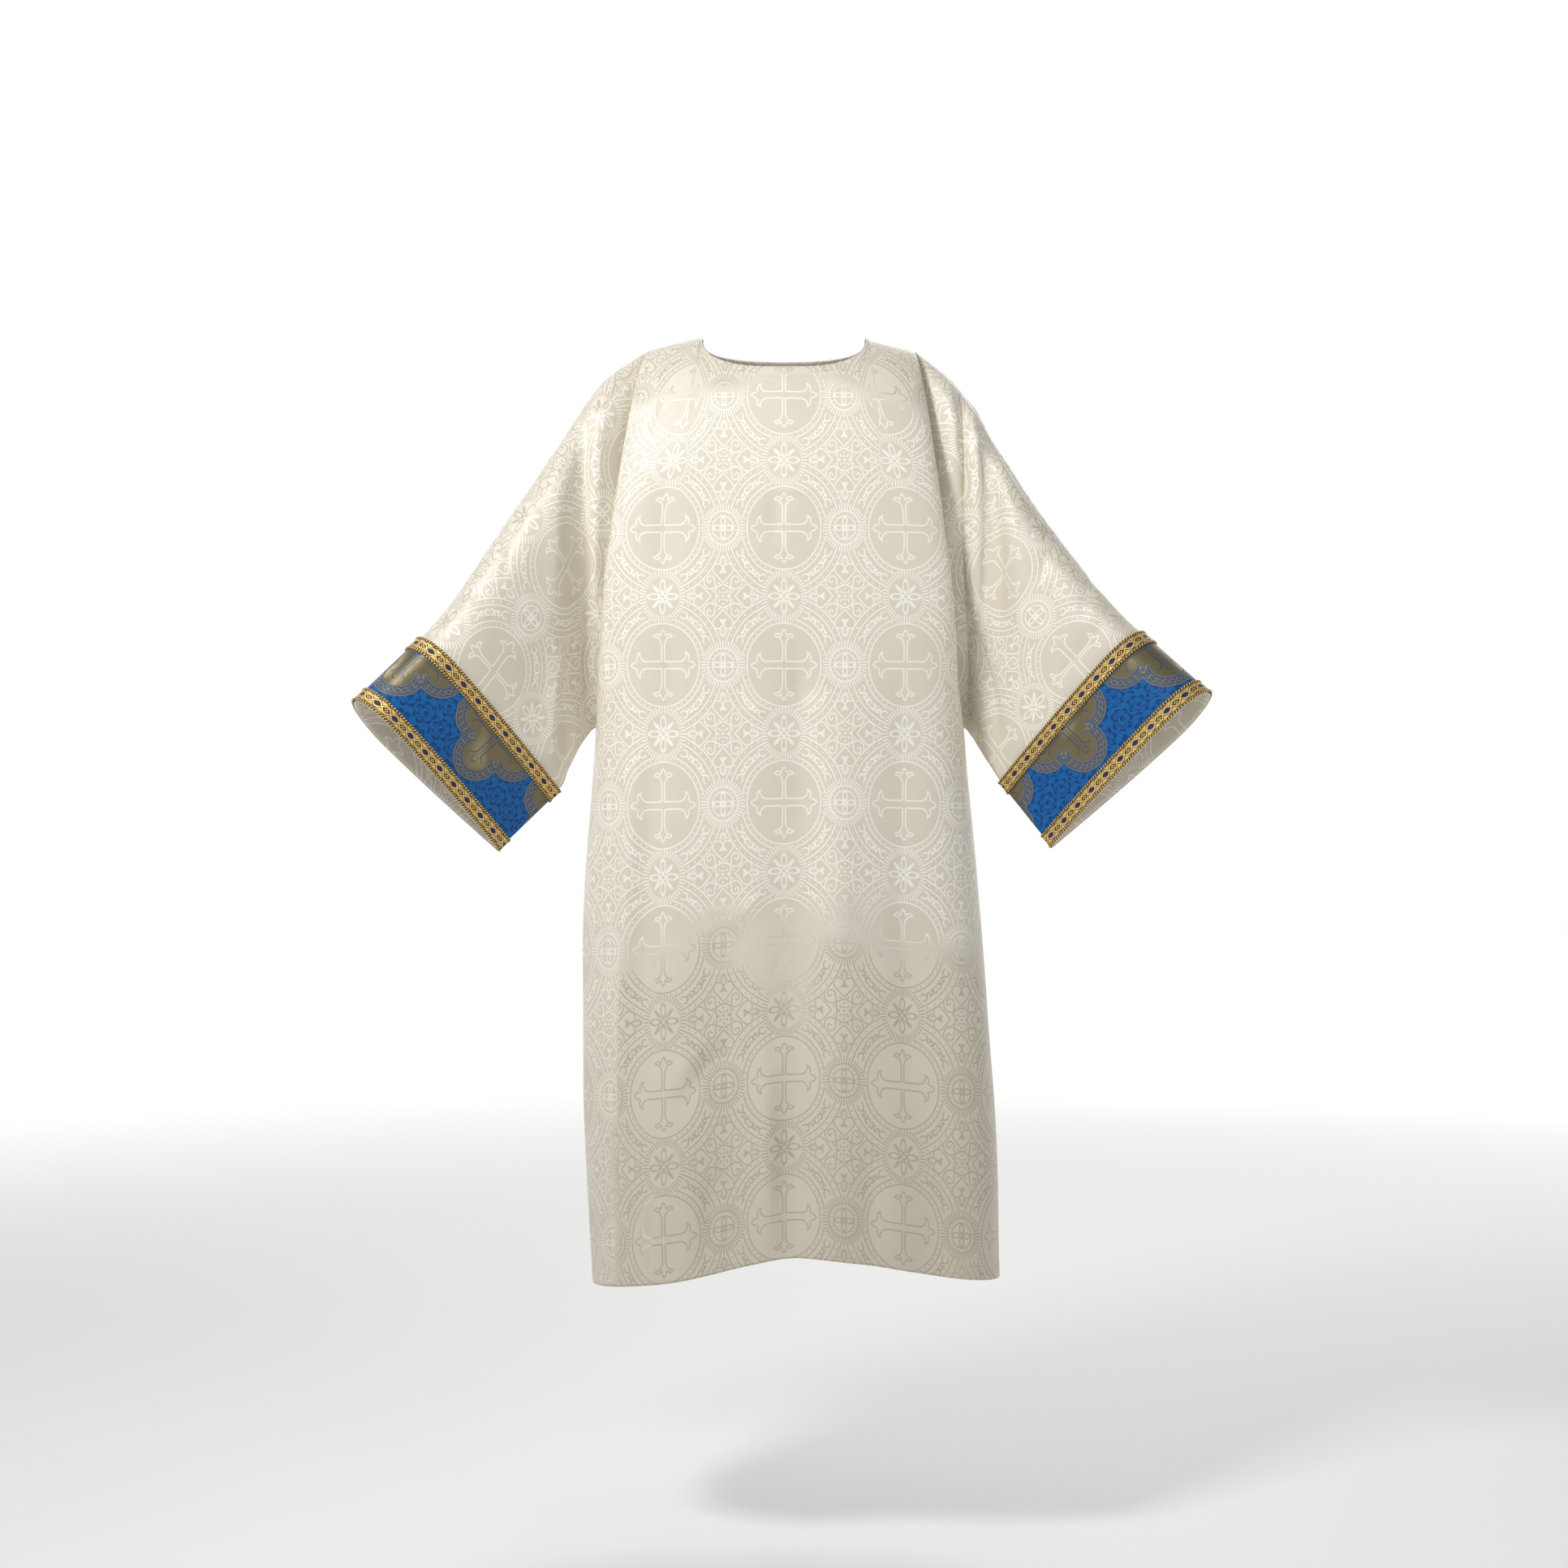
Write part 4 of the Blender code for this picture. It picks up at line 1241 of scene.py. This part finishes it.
# Noise by its waves to the metre, and where the gold thread starts and ends its turn to a painted glint
WANDER_SCALE = 24.0
BLUE_SCALE = 14.0
GLINT_SCALE = 11.0
GLINT_TURNS = (0.56, 0.70)
GLINT_SHARE = 0.80
BORDER_LINE_SHARE = 0.60
CROSS_SHARE = 0.85
FIELD_METAL = 0.45
LINE_METAL = 0.25
BROCADE_THREADS = 900.0
BROCADE_RIBS = 0.0008
ROYAL_BLUE = (0.000, 0.098, 0.350, 1.0)
BRIGHT_BLUE = (0.000, 0.135, 0.430, 1.0)
NAVY_VINE = (0.001, 0.038, 0.165, 1.0)
OLIVE_GOLD = (0.190, 0.160, 0.085, 1.0)
BLUE_GREY = (0.075, 0.105, 0.165, 1.0)
GOLD_THREAD = (0.420, 0.330, 0.130, 1.0)
PAINTED_GOLD_GLINT = (0.780, 0.690, 0.380, 1.0)


def vine_shape(u, v):
    """Round scrolls of vine with leaves, each row set half a scroll aside."""
    row = (v * (1 / VINE_REPEAT.length)).math("FLOOR")
    x = (u + row * (VINE_REPEAT.width / 2)).tiled(VINE_REPEAT.width)
    y = (v - VINE_REPEAT.length / 2).tiled(VINE_REPEAT.length)
    spot = Spot(x, y)
    radius = spot.distance()
    angle = spot.angle()
    gap = spot.along(0.0, 0.0, 0.8, 0.6) - VINE_GAP
    scroll = arc(spot, 0.0, 0.0, VINE_RADIUS, gap, half=VINE_HALF)
    curl_gap = spot.along(0.0, 0.0, -0.6, -0.8) - CURL_GAP
    curl = arc(spot, *CURL_PLACE, CURL_RADIUS, curl_gap, half=LINE_HALF)
    leaf_angle = angle.folded(2 * math.pi / VINE_LEAF_COUNT)
    leaves = ovals(Spot(leaf_angle * VINE_RADIUS, radius), VINE_LEAVES)
    curl_angle = (angle + CURL_LEAF_TURN).folded(2 * math.pi / CURL_LEAF_COUNT)
    curl_leaf = Spot(curl_angle * CURL_LEAF_RADIUS, radius).oval(*CURL_LEAF)
    flower = radius - ((angle * 5.0).math("COSINE") * FLOWER_SWING + FLOWER_RADIUS)
    stem_end = spot.along(*STEM_PLACE, -0.3, 0.95)
    stem = arc(spot, *STEM_PLACE, STEM_RADIUS, stem_end, half=VINE_HALF)
    return union(scroll, curl, leaves, curl_leaf, flower, stem)


def brocade_material():
    """Blue cloth with vines, and lobed medallions of old gold with a cross in each."""
    material, tree, shader, u, v = new_material("brocade")
    x = u.folded(BROCADE_REPEAT)
    y = abs(v - MEDALLION_PLACE)
    corner = Spot(x, y).steeper()
    shape = corner.distance(LOBE_PLACE, 0.0) - LOBE_RADIUS
    medallion = painted(shape, LINE_SOFTNESS)
    barbed = union(shape + BORDER_WIDTH, corner.x - BARB_REACH)
    inside = painted(barbed, LINE_SOFTNESS)
    swing = (corner.angle() * BORDER_WAVES).sine() * BORDER_SWING
    middle_line = shape + BORDER_MIDDLE
    scroll = union(line(middle_line - swing, LINE_HALF), line(middle_line + swing, LINE_HALF))
    edge = union(line(shape + OUTER_EDGE, EDGE_HALF), line(barbed - INNER_EDGE, EDGE_HALF))
    border_lines = painted(overlap(union(scroll, edge), shape, -barbed), LINE_SOFTNESS)
    tips = overlap(line(corner.oval(*TIP_OVAL), TIP_HALF), TIP_START - corner.x)
    cross = painted(union(drawn(corner, MEDALLION_CROSS), tips), LINE_SOFTNESS)
    wander = (noise_number(tree, u, v, WANDER_SCALE, 1.0) - 0.5) * VINE_WANDER
    vine = painted(vine_shape(u + wander, v + wander), VINE_SOFTNESS)
    blue = mixed(tree, noise_number(tree, u, v, BLUE_SCALE, 2.0), ROYAL_BLUE, BRIGHT_BLUE)
    ground = mixed(tree, vine, blue, NAVY_VINE)
    # Painted glints: the gold's colour turns bright in patches of noise
    glint = rescaled(noise_number(tree, u, v, GLINT_SCALE, 1.0), *GLINT_TURNS, 0.0, 1.0)
    gold_line = mixed(tree, glint, GOLD_THREAD, PAINTED_GOLD_GLINT)
    inner_gold = mixed(tree, glint * GLINT_SHARE, OLIVE_GOLD, PAINTED_GOLD_GLINT)
    border = mixed(tree, border_lines * BORDER_LINE_SHARE, BLUE_GREY, gold_line)
    middle = mixed(tree, cross * CROSS_SHARE, inner_gold, BLUE_GREY)
    raised = mixed(tree, inside, border, middle)
    gold = medallion * inside * FIELD_METAL + border_lines * LINE_METAL
    threads = noise_number(tree, u, v, BROCADE_THREADS, 1.0, 0.15)
    feed(tree, shader.inputs["Metallic"], gold)
    tone = mixed(tree, medallion, ground, raised)
    ribs = (v * (2 * math.pi / BROCADE_RIBS)).sine()
    parts = (medallion, border_lines, vine, ribs, threads)
    finish_cloth(tree, shader, BROCADE_FINISH, tone, gold, threads, parts)
    return material


# The braid's pattern: two strands that cross, lozenges and small crosses in their eyes, and a
# rope of gold and black along each edge
BRAID_REPEAT = 0.0294
STRAND_SWING = 0.0043
STRAND_HALF = 0.0010
OUTLINE = 0.0010
ROPE_PLACE = 0.0068
ROPE_TWIST = 0.0040
ROPE_LEAN = 0.7
ROPE_BITE = (-0.0010, 0.0016)
FIELD_EDGE_HALF = 0.0004
LOZENGE_LEAN = (0.64, 0.76)
LOZENGE_SIZE = 0.0027
PETALS = ((0.0020, 0.0, 0.0012, 0.0008), (0.0, 0.0017, 0.0008, 0.0010))
BRAID_SOFTNESS = 0.00012
BRAID_THREADS = 1400.0
BRAID_RIBS = 0.0009
BRAID_METAL = 0.45
BRAID_GOLD = (0.720, 0.430, 0.100, 1.0)
BRAID_PALE_GOLD = (0.930, 0.690, 0.270, 1.0)
BRAID_DARK = (0.022, 0.015, 0.012, 1.0)
BRAID_BLUE = (0.004, 0.014, 0.150, 1.0)


def braid_material():
    """Gold galloon with two crossing strands between twisted edges."""
    material, tree, shader, u, v = new_material("braid")
    across = abs(v - BRAID_WIDTH / 2)
    wave = abs((u * (2 * math.pi / BRAID_REPEAT)).math("COSINE") * STRAND_SWING)
    strands = line(across - wave, STRAND_HALF)
    eye = across - wave
    lean_x, lean_y = LOZENGE_LEAN
    lozenge = u.folded(BRAID_REPEAT) * lean_x + across * lean_y - LOZENGE_SIZE
    rose_place = Spot((u + BRAID_REPEAT / 2).folded(BRAID_REPEAT), across)
    field_edge = line(across - ROPE_PLACE, FIELD_EDGE_HALF)
    rope = (u * (1 / ROPE_TWIST) + across * (ROPE_LEAN / ROPE_TWIST)) * (2 * math.pi)
    rope_gap = overlap(rescaled(rope.sine(), -1.0, 1.0, *ROPE_BITE), -across + ROPE_PLACE)
    gold_shape = union(strands, ovals(rose_place, PETALS))
    outline = union(overlap(strands - OUTLINE, across - ROPE_PLACE), eye, field_edge, rope_gap)
    gold = painted(gold_shape, BRAID_SOFTNESS)
    dark = painted(overlap(outline, -gold_shape), BRAID_SOFTNESS)
    blue = painted(lozenge, BRAID_SOFTNESS)
    threads = noise_number(tree, u, v, BRAID_THREADS, 1.0, 0.4)
    thread_gold = mixed(tree, threads, BRAID_GOLD, BRAID_PALE_GOLD)
    shaded = mixed(tree, dark, thread_gold, BRAID_DARK)
    golden = mixed(tree, gold, shaded, thread_gold)
    shine = (1.0 - dark) * (1.0 - blue)
    feed(tree, shader.inputs["Metallic"], shine * BRAID_METAL)
    tone = mixed(tree, blue, golden, BRAID_BLUE)
    ribs = (u * (2 * math.pi / BRAID_RIBS)).sine()
    finish_cloth(tree, shader, BRAID_FINISH, tone, shine, threads, (gold, dark, ribs, threads))
    return material


# The cord's twist, where its stripe turns from dark to gold, and its fibres along and round it
CORD_TWIST = 0.0042
CORD_TURNS = (-0.35, 0.35)
CORD_FIBRES = (1000.0, 6.0)
THREAD_FUZZ = 900.0


def cord_material():
    """Black and gold threads twisted together; the map runs along the cord and round it."""
    material, tree, shader, u, v = new_material("twisted_cord")
    turn = u * (1 / CORD_TWIST) + v
    stripe = rescaled((turn * (2 * math.pi)).sine(), *CORD_TURNS, 0.0, 1.0)
    threads = noise_number(tree, u * CORD_FIBRES[0], v * CORD_FIBRES[1], 1.0, 1.0)
    gold = mixed(tree, threads, BRAID_GOLD, BRAID_PALE_GOLD)
    dress(tree, shader, {
        "Base Color": mixed(tree, stripe, BRAID_DARK, gold),
        "Metallic": stripe * 0.5,
        "Roughness": threads * 0.2 + 0.40,
    })
    bumped(tree, shader, (turn * (4 * math.pi)).sine() + threads * 0.5, 0.6, 0.0005)
    return material


def plain_material(name, noise_scale, first, second):
    """A material whose colour wavers between two, with its place in the scene."""
    material = bpy.data.materials.new(name)
    material.use_nodes = True
    tree = material.node_tree
    shader = tree.nodes["Principled BSDF"]
    place = tree.nodes.new("ShaderNodeTexCoord")
    grain = tree.nodes.new("ShaderNodeTexNoise")
    grain.inputs["Scale"].default_value = noise_scale
    tone = mixed(tree, Number(tree, grain.outputs["Fac"]), first, second)
    feed(tree, shader.inputs["Base Color"], tone)
    return material, tree, shader, place, grain


def thread_material():
    """Sewing thread in the colours of the cloth."""
    tones = (GROUND_CREAM, GROUND_SHADE)
    material, tree, shader, place, fuzz = plain_material("sewing_thread", THREAD_FUZZ, *tones)
    tree.links.new(place.outputs["Object"], fuzz.inputs["Vector"])
    dress(tree, shader, {"Roughness": 0.5, "Sheen Weight": 0.3, "Sheen Roughness": 0.4})
    return material


def stitches(name, line_points, normals, material):
    """Short rods of thread along a line on the cloth."""
    steps = np.linalg.norm(np.diff(line_points, axis=0), axis=1)
    walk = np.concatenate([[0.0], np.cumsum(steps)])
    places = np.arange(STITCH_PITCH, walk[-1] - STITCH_PITCH, STITCH_PITCH)
    vertices = []
    faces = []
    for place in places:
        ends = []
        for at in (place - STITCH_LENGTH / 2, place + STITCH_LENGTH / 2):
            point = Vector([np.interp(at, walk, line_points[:, k]) for k in range(3)])
            out = Vector([np.interp(at, walk, normals[:, k]) for k in range(3)]).normalized()
            ends.append((point, out))
        run = (ends[1][0] - ends[0][0]).normalized()
        first = len(vertices)
        for point, out in ends:
            aside = out.cross(run).normalized() * (STITCH_WIDTH / 2)
            foot = point + out * (CLOTH_SHELL / 2 - STITCH_WIDTH / 4)
            head = foot + out * STITCH_WIDTH
            top_aside = aside * STITCH_TAPER
            vertices += [foot - aside, foot + aside, head + top_aside, head - top_aside]
        faces += [[first + corner for corner in face] for face in ROD_FACES]
    mesh = bpy.data.meshes.new(name)
    mesh.from_pydata([tuple(vertex) for vertex in vertices], [], faces)
    mesh.materials.append(material)
    piece = new_object(name, mesh)
    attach(piece, "root")
    return piece


def line_at(points, walk, distances):
    """The line across a grid at a distance walked up each of its columns."""
    line_points = []
    for column, at in enumerate(distances):
        line_points.append([np.interp(at, walk[:, column], points[:, column, k]) for k in range(3)])
    return np.array(line_points)


def seam_roll(edge_distance):
    """Cloth turns in a little where it is sewn."""
    return -SEAM_ROLL * np.exp(-(edge_distance / SEAM_ROLL_WIDTH) ** 2)


def declare_cloth(points, across, along, closed=False):
    """Works out the size that a piece was cut to, from its flat map and its true area; the size is not
    kept.
    """
    if closed:
        points = np.concatenate([points, points[:, :1]], axis=1)
    first = points[1:, 1:] - points[:-1, :-1]
    second = points[1:, :-1] - points[:-1, 1:]
    area = float(np.linalg.norm(np.cross(first, second), axis=2).sum() / 2)
    width = float(across.max() - across.min())
    length = float(along.max() - along.min())
    area = min(area, width * length)


def build_panel(name, panel, creases, seed, material, thread):
    """The front or the back, with its creases, turned edges and rows of stitches.

    Its flat map is measured from the middle line, and up from the hem.
    """
    points = body_grid(panel)
    normals = grid_normals(points)
    up = walked(points, 0)
    across = walked(points, 1)
    middle = points.shape[1] // 2
    across = across - across[:, middle:middle + 1]
    to_side = np.minimum(across - across[:, :1], across[:, -1:] - across)
    to_top = up[-1:] - up
    neck = np.abs(points[-1:, :, 0]) < NECK_HALF
    sewn = np.minimum(to_side, np.where(neck, 1.0, to_top))
    rise = crease_rise(points, creases) + uneven_rise(points, seed)
    rise *= ease_all(sewn / EDGE_FADE) * ease_all(to_top / EDGE_FADE)
    turned = ease_all((TURNED_EDGE - up) / TURNED_STEP)
    turned += np.where(neck, ease_all((TURNED_EDGE - to_top) / TURNED_STEP), 0.0)
    rise += seam_roll(sewn) + TURNED_RISE * turned
    points = points + normals * rise[:, :, None]
    normals = grid_normals(points)
    up = walked(points, 0)
    armpit = SKIRT_ROWS
    straight = up[armpit, middle] / up[armpit]
    below_armpit = np.arange(len(up))[:, None] <= armpit
    flat_up = np.where(below_armpit, up * straight, up - up[armpit] + up[armpit, middle])
    above_roundel = flat_up - ROUNDEL_ABOVE_HEM
    piece = cloth_piece(name + "_cloth", points, across, above_roundel, CLOTH_SHELL, material)
    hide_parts(name)
    hem_distance = np.full(points.shape[1], TURNED_EDGE)
    hem_line = line_at(points, up, hem_distance)
    hem_normals = line_at(normals, up, hem_distance)
    hem = stitches(name + "_hem_stitches", hem_line, hem_normals, thread)
    open_columns = np.flatnonzero(neck[0])
    neck_distance = up[-1] - TURNED_EDGE
    neck_line = line_at(points, up, neck_distance)[open_columns]
    neck_normals = line_at(normals, up, neck_distance)[open_columns]
    neck_row = stitches(name + "_neck_stitches", neck_line, neck_normals, thread)
    declare_cloth(points, across, flat_up)


def squared_to_cuff(flat_along, flat_down, cuff_first, turned):
    """Turns a flat map so that its cuff edge runs straight down from the overarm seam at 0."""
    cuff_column = 0 if cuff_first else -1
    cuff_line = np.stack([flat_along[:, cuff_column], flat_down[:, cuff_column]], axis=1)
    seam_row = -1 if turned else 0
    run = cuff_line[-1 - seam_row] - cuff_line[seam_row]
    run = run / np.linalg.norm(run)
    aside_along = flat_along - cuff_line[seam_row, 0]
    aside_down = flat_down - cuff_line[seam_row, 1]
    along = aside_along * run[1] - aside_down * run[0]
    down = aside_along * run[0] + aside_down * run[1]
    return along, down


def build_sleeve_half(name, sleeve, facing, creases, seed, material):
    """Half a sleeve with its folds, laid flat for its pattern; rows start at the overarm seam.

    The grid is turned round where its cloth would face in.
    """
    points, alongs = sleeve_grid(sleeve, facing)
    turned = sleeve.side * facing > 0
    if turned:
        points = points[::-1]
    normals = grid_normals(points)
    if normals[:, :, 1].mean() * facing < 0:
        points = points[:, ::-1]
        alongs = alongs[::-1]
        normals = grid_normals(points)
    down = walked(points, 0)
    if turned:
        down = down[-1:] - down
    to_seam = np.minimum(down, down.max(axis=0, keepdims=True) - down)
    to_armhole = np.broadcast_to(alongs, down.shape)
    to_cuff = sleeve.cuff_start - to_armhole
    rise = crease_rise(points, creases) + uneven_rise(points, seed)
    drift = PUCKER_SWING * np.sin(to_armhole * PUCKER_DRIFT)
    pucker = np.sin(to_armhole * (2 * math.pi / PUCKER_PITCH) + drift)
    rise += PUCKER_HEIGHT * pucker * np.exp(-down / PUCKER_REACH)
    cuff_fade = ease_all(to_cuff / CUFF_FADE)
    rise *= ease_all(to_seam / EDGE_FADE) * ease_all(to_armhole / EDGE_FADE) * cuff_fade
    rise += seam_roll(np.minimum(to_seam, to_armhole)) * cuff_fade
    points = points + normals * rise[:, :, None]
    walk = walked(points, 1)
    cuff_first = alongs[0] > alongs[-1]
    from_cuff = walk if cuff_first else walk[:, -1:] - walk
    flat_along, flat_down = flattened(points, -from_cuff, down)
    flat_along, flat_down = squared_to_cuff(flat_along, flat_down, cuff_first, turned)
    place = SLEEVE_ROUNDEL[sleeve.side]
    full_name = "sleeve_" + name
    map_along = flat_along * place.stretch + place.along
    map_down = flat_down + flat_along * place.lean - place.down
    piece = cloth_piece(full_name + "_cloth", points, map_along, map_down, CLOTH_SHELL, material)
    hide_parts(full_name)
    declare_cloth(points, flat_along, flat_down)


def even_repeats(length, repeat):
    """A stretch factor that fits a whole number of repeats into a ring."""
    return round(length / repeat) * repeat / length


def build_band(name, sleeve, material):
    """The brocade round a cuff."""
    distance = CLOTH / 2 + SEAM_GAP + BRAID / 2
    points = cuff_grid(sleeve, BAND_INSET, CUFF_DEPTH - BAND_INSET, BAND_ROWS, CUFF_COLUMNS, distance)
    walk = walked(points, 1, closed=True)
    around = walk * even_repeats(walk[:, -1:].mean(), BROCADE_REPEAT) - MEDALLION_START[sleeve.side]
    depth = np.linspace(BAND_INSET, CUFF_DEPTH - BAND_INSET, BAND_ROWS + 1)[:, None]
    depth = np.broadcast_to(depth, around.shape)
    full_name = "cuff_band_" + name
    piece = cloth_piece(full_name + "_cloth", points, around, depth, BAND_SHELL, material, closed=True)
    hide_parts(full_name)
    declare_cloth(points, walk, depth, closed=True)


def braid_relief(around, across):
    """The height of the woven strands and borders above the braid's ground."""
    aside = np.abs(across - BRAID_WIDTH / 2)
    wave = np.abs(np.cos(around * (2 * math.pi / BRAID_REPEAT))) * STRAND_SWING
    strands = np.exp(-((aside - wave) / STRAND_SPREAD) ** 2)
    borders = np.exp(-((aside - ROPE_PLACE) / BORDER_SPREAD) ** 2)
    return BRAID_RISE * np.maximum(strands, borders)


def build_braid(name, sleeve, start, material, cord):
    """One braid, with its strands in relief and a cord along both edges."""
    distance = CLOTH / 2 + BRAID * 1.5 + SEAM_GAP * 2
    end = start + BRAID_WIDTH
    points = cuff_grid(sleeve, start, end, BRAID_ROWS, BRAID_COLUMNS, distance)
    normals = grid_normals(points, closed=True)
    walk = walked(points, 1, closed=True)
    around = walk * even_repeats(walk[:, -1:].mean(), BRAID_REPEAT)
    across = np.broadcast_to(np.linspace(0.0, BRAID_WIDTH, BRAID_ROWS + 1)[:, None], around.shape)
    relief = braid_relief(around, across)[:, :-1]
    raised = points + normals * relief[:, :, None]
    full_name = "braid_" + name
    piece = cloth_piece(full_name + "_trim", raised, around, across, BRAID_SHELL, material, closed=True)
    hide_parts(full_name)
    for edge, row in (("first", 0), ("second", -1)):
        inward = (points[1] - points[0]) if row == 0 else (points[-2] - points[-1])
        inward = inward / np.linalg.norm(inward, axis=1, keepdims=True)
        path = points[row] + inward * CORD_RADIUS + normals[row] * (BRAID_SHELL / 2)
        cord_piece(full_name + "_cord_" + edge, path, normals[row], cord)
    declare_cloth(points, walk, across, closed=True)


def cord_piece(name, path, normals, material):
    """A closed round cord along a ring of points."""
    run = np.roll(path, -1, axis=0) - np.roll(path, 1, axis=0)
    run = run / np.linalg.norm(run, axis=1, keepdims=True)
    aside = np.cross(run, normals)
    aside = aside / np.linalg.norm(aside, axis=1, keepdims=True)
    out = np.cross(aside, run)
    angles = np.arange(CORD_SIDES) * (2 * math.pi / CORD_SIDES)
    ring = [out * math.cos(angle) + aside * math.sin(angle) for angle in angles]
    points = path[:, None, :] + np.stack(ring, axis=1) * CORD_RADIUS
    points = np.concatenate([points, points[:1]], axis=0)
    along = walked(points, 0).mean(axis=1, keepdims=True)
    along = np.broadcast_to(along, (len(points), CORD_SIDES + 1))
    turn = np.broadcast_to(np.linspace(0.0, 1.0, CORD_SIDES + 1), along.shape)
    piece = cloth_piece(name, points, along, turn, 0.0, material, closed=True)
    return piece


def build_garment():
    """All the pieces, from the body out to the braids."""
    front = BodyPanel(-1, FRONT_LEVELS, "front", FRONT_DRAPES, FRONT_NECK_DROP, FRONT_SQUARENESS)
    back = BodyPanel(1, BACK_LEVELS, "back", BACK_DRAPES, BACK_NECK_DROP, BACK_SQUARENESS)
    damask = damask_material()
    brocade = brocade_material()
    braid = braid_material()
    cord = cord_material()
    thread = thread_material()
    build_panel("front", front, FRONT_CREASES, NOISE_SEEDS["front"], damask, thread)
    build_panel("back", back, BACK_CREASES, NOISE_SEEDS["back"], damask, thread)
    sleeves = (
        ("right", Sleeve(-1, RIGHT_RINGS, front, back), RIGHT_CREASES),
        ("left", Sleeve(1, LEFT_RINGS, front, back), LEFT_CREASES),
    )
    for name, sleeve, creases in sleeves:
        for half, facing in (("_front", -1), ("_back", 1)):
            seed = NOISE_SEEDS["sleeve" + half]
            build_sleeve_half(name + half, sleeve, facing, creases, seed, damask)
        build_band(name, sleeve, brocade)
        build_braid(name + "_upper", sleeve, 0.0, braid, cord)
        build_braid(name + "_lower", sleeve, CUFF_DEPTH - BRAID_WIDTH, braid, cord)


# The floor turns into the white backdrop with distance
FLOOR_HALF = 12.0
FLOOR_GRAIN = 3.0
FLOOR_PALE = (0.86, 0.86, 0.85, 1.0)
FLOOR_PALER = (0.90, 0.90, 0.89, 1.0)
FLOOR_GLOW_REACH = (1.8, 6.0)
FLOOR_GLOW = 0.62
WHITE = (1.0, 1.0, 1.0, 1.0)


def floor_material():
    """A pale floor that glows more with distance."""
    tones = (FLOOR_PALE, FLOOR_PALER)
    material, tree, shader, place, _ = plain_material("pale_floor", FLOOR_GRAIN, *tones)
    distance = vector_node(tree, "LENGTH", place.outputs["Object"]).outputs["Value"]
    glow = rescaled(Number(tree, distance), *FLOOR_GLOW_REACH, 0.0, FLOOR_GLOW)
    dress(tree, shader, {"Roughness": 0.7, "Emission Color": WHITE, "Emission Strength": glow})
    return material


def build_stage():
    """The floor, which isn't part of the garment."""
    mesh = bpy.data.meshes.new("floor")
    corners = [(-1, -1), (1, -1), (1, 1), (-1, 1)]
    points = [(x * FLOOR_HALF, y * FLOOR_HALF, FLOOR_HEIGHT) for x, y in corners]
    mesh.from_pydata(points, [], [(0, 1, 2, 3)])
    mesh.materials.append(floor_material())
    new_object("floor", mesh)


Lamp = namedtuple("Lamp", "name place aim size power")
LAMPS = [
    Lamp("key", (-1.10, -1.45, 0.95), (0.02, 0.0, -0.40), 0.5, 33.0),
    Lamp("fill", (1.9, -2.6, 0.3), (0.0, 0.0, -0.5), 1.4, 8.0),
    Lamp("behind", (0.6, 2.4, 1.2), (0.0, 0.0, -0.5), 1.6, 40.0),
]
# The white backdrop lies behind the garment, and the room in front of it is dimmer
BACKDROP_GLOW = 1.0
ROOM_GLOW = 0.26
BACKDROP_TURNS = (0.10, 0.75)


def build_world():
    """A bright backdrop behind, with a dimmer room in front."""
    world = bpy.data.worlds.new("studio")
    world.use_nodes = True
    tree = world.node_tree
    background = tree.nodes["Background"]
    background.inputs["Color"].default_value = WHITE
    place = tree.nodes.new("ShaderNodeTexCoord")
    ahead = parts_of(tree, place.outputs["Generated"])[1]
    glow = rescaled(ahead, *BACKDROP_TURNS, ROOM_GLOW, BACKDROP_GLOW)
    feed(tree, background.inputs["Strength"], glow)
    bpy.context.scene.world = world


def build_lights():
    """The lamps, each aimed at a place on the garment."""
    for lamp in LAMPS:
        data = bpy.data.lights.new(lamp.name, "AREA")
        data.shape = "SQUARE"
        data.size = lamp.size
        data.energy = lamp.power
        light = new_object(lamp.name, data)
        light.location = lamp.place
        aim = Vector(lamp.aim) - Vector(lamp.place)
        light.rotation_euler = aim.to_track_quat("-Z", "Y").to_euler()


def build_camera():
    """The camera looks level along +Y."""
    data = bpy.data.cameras.new("camera")
    data.lens = LENS
    camera = new_object("camera", data)
    camera.location = (0.0, -CAMERA_DISTANCE, CAMERA_HEIGHT)
    camera.rotation_euler = (math.pi / 2, 0.0, 0.0)
    bpy.context.scene.camera = camera


build_garment()
build_stage()
build_world()
build_lights()
build_camera()
bpy.context.scene.view_settings.view_transform = "Standard"
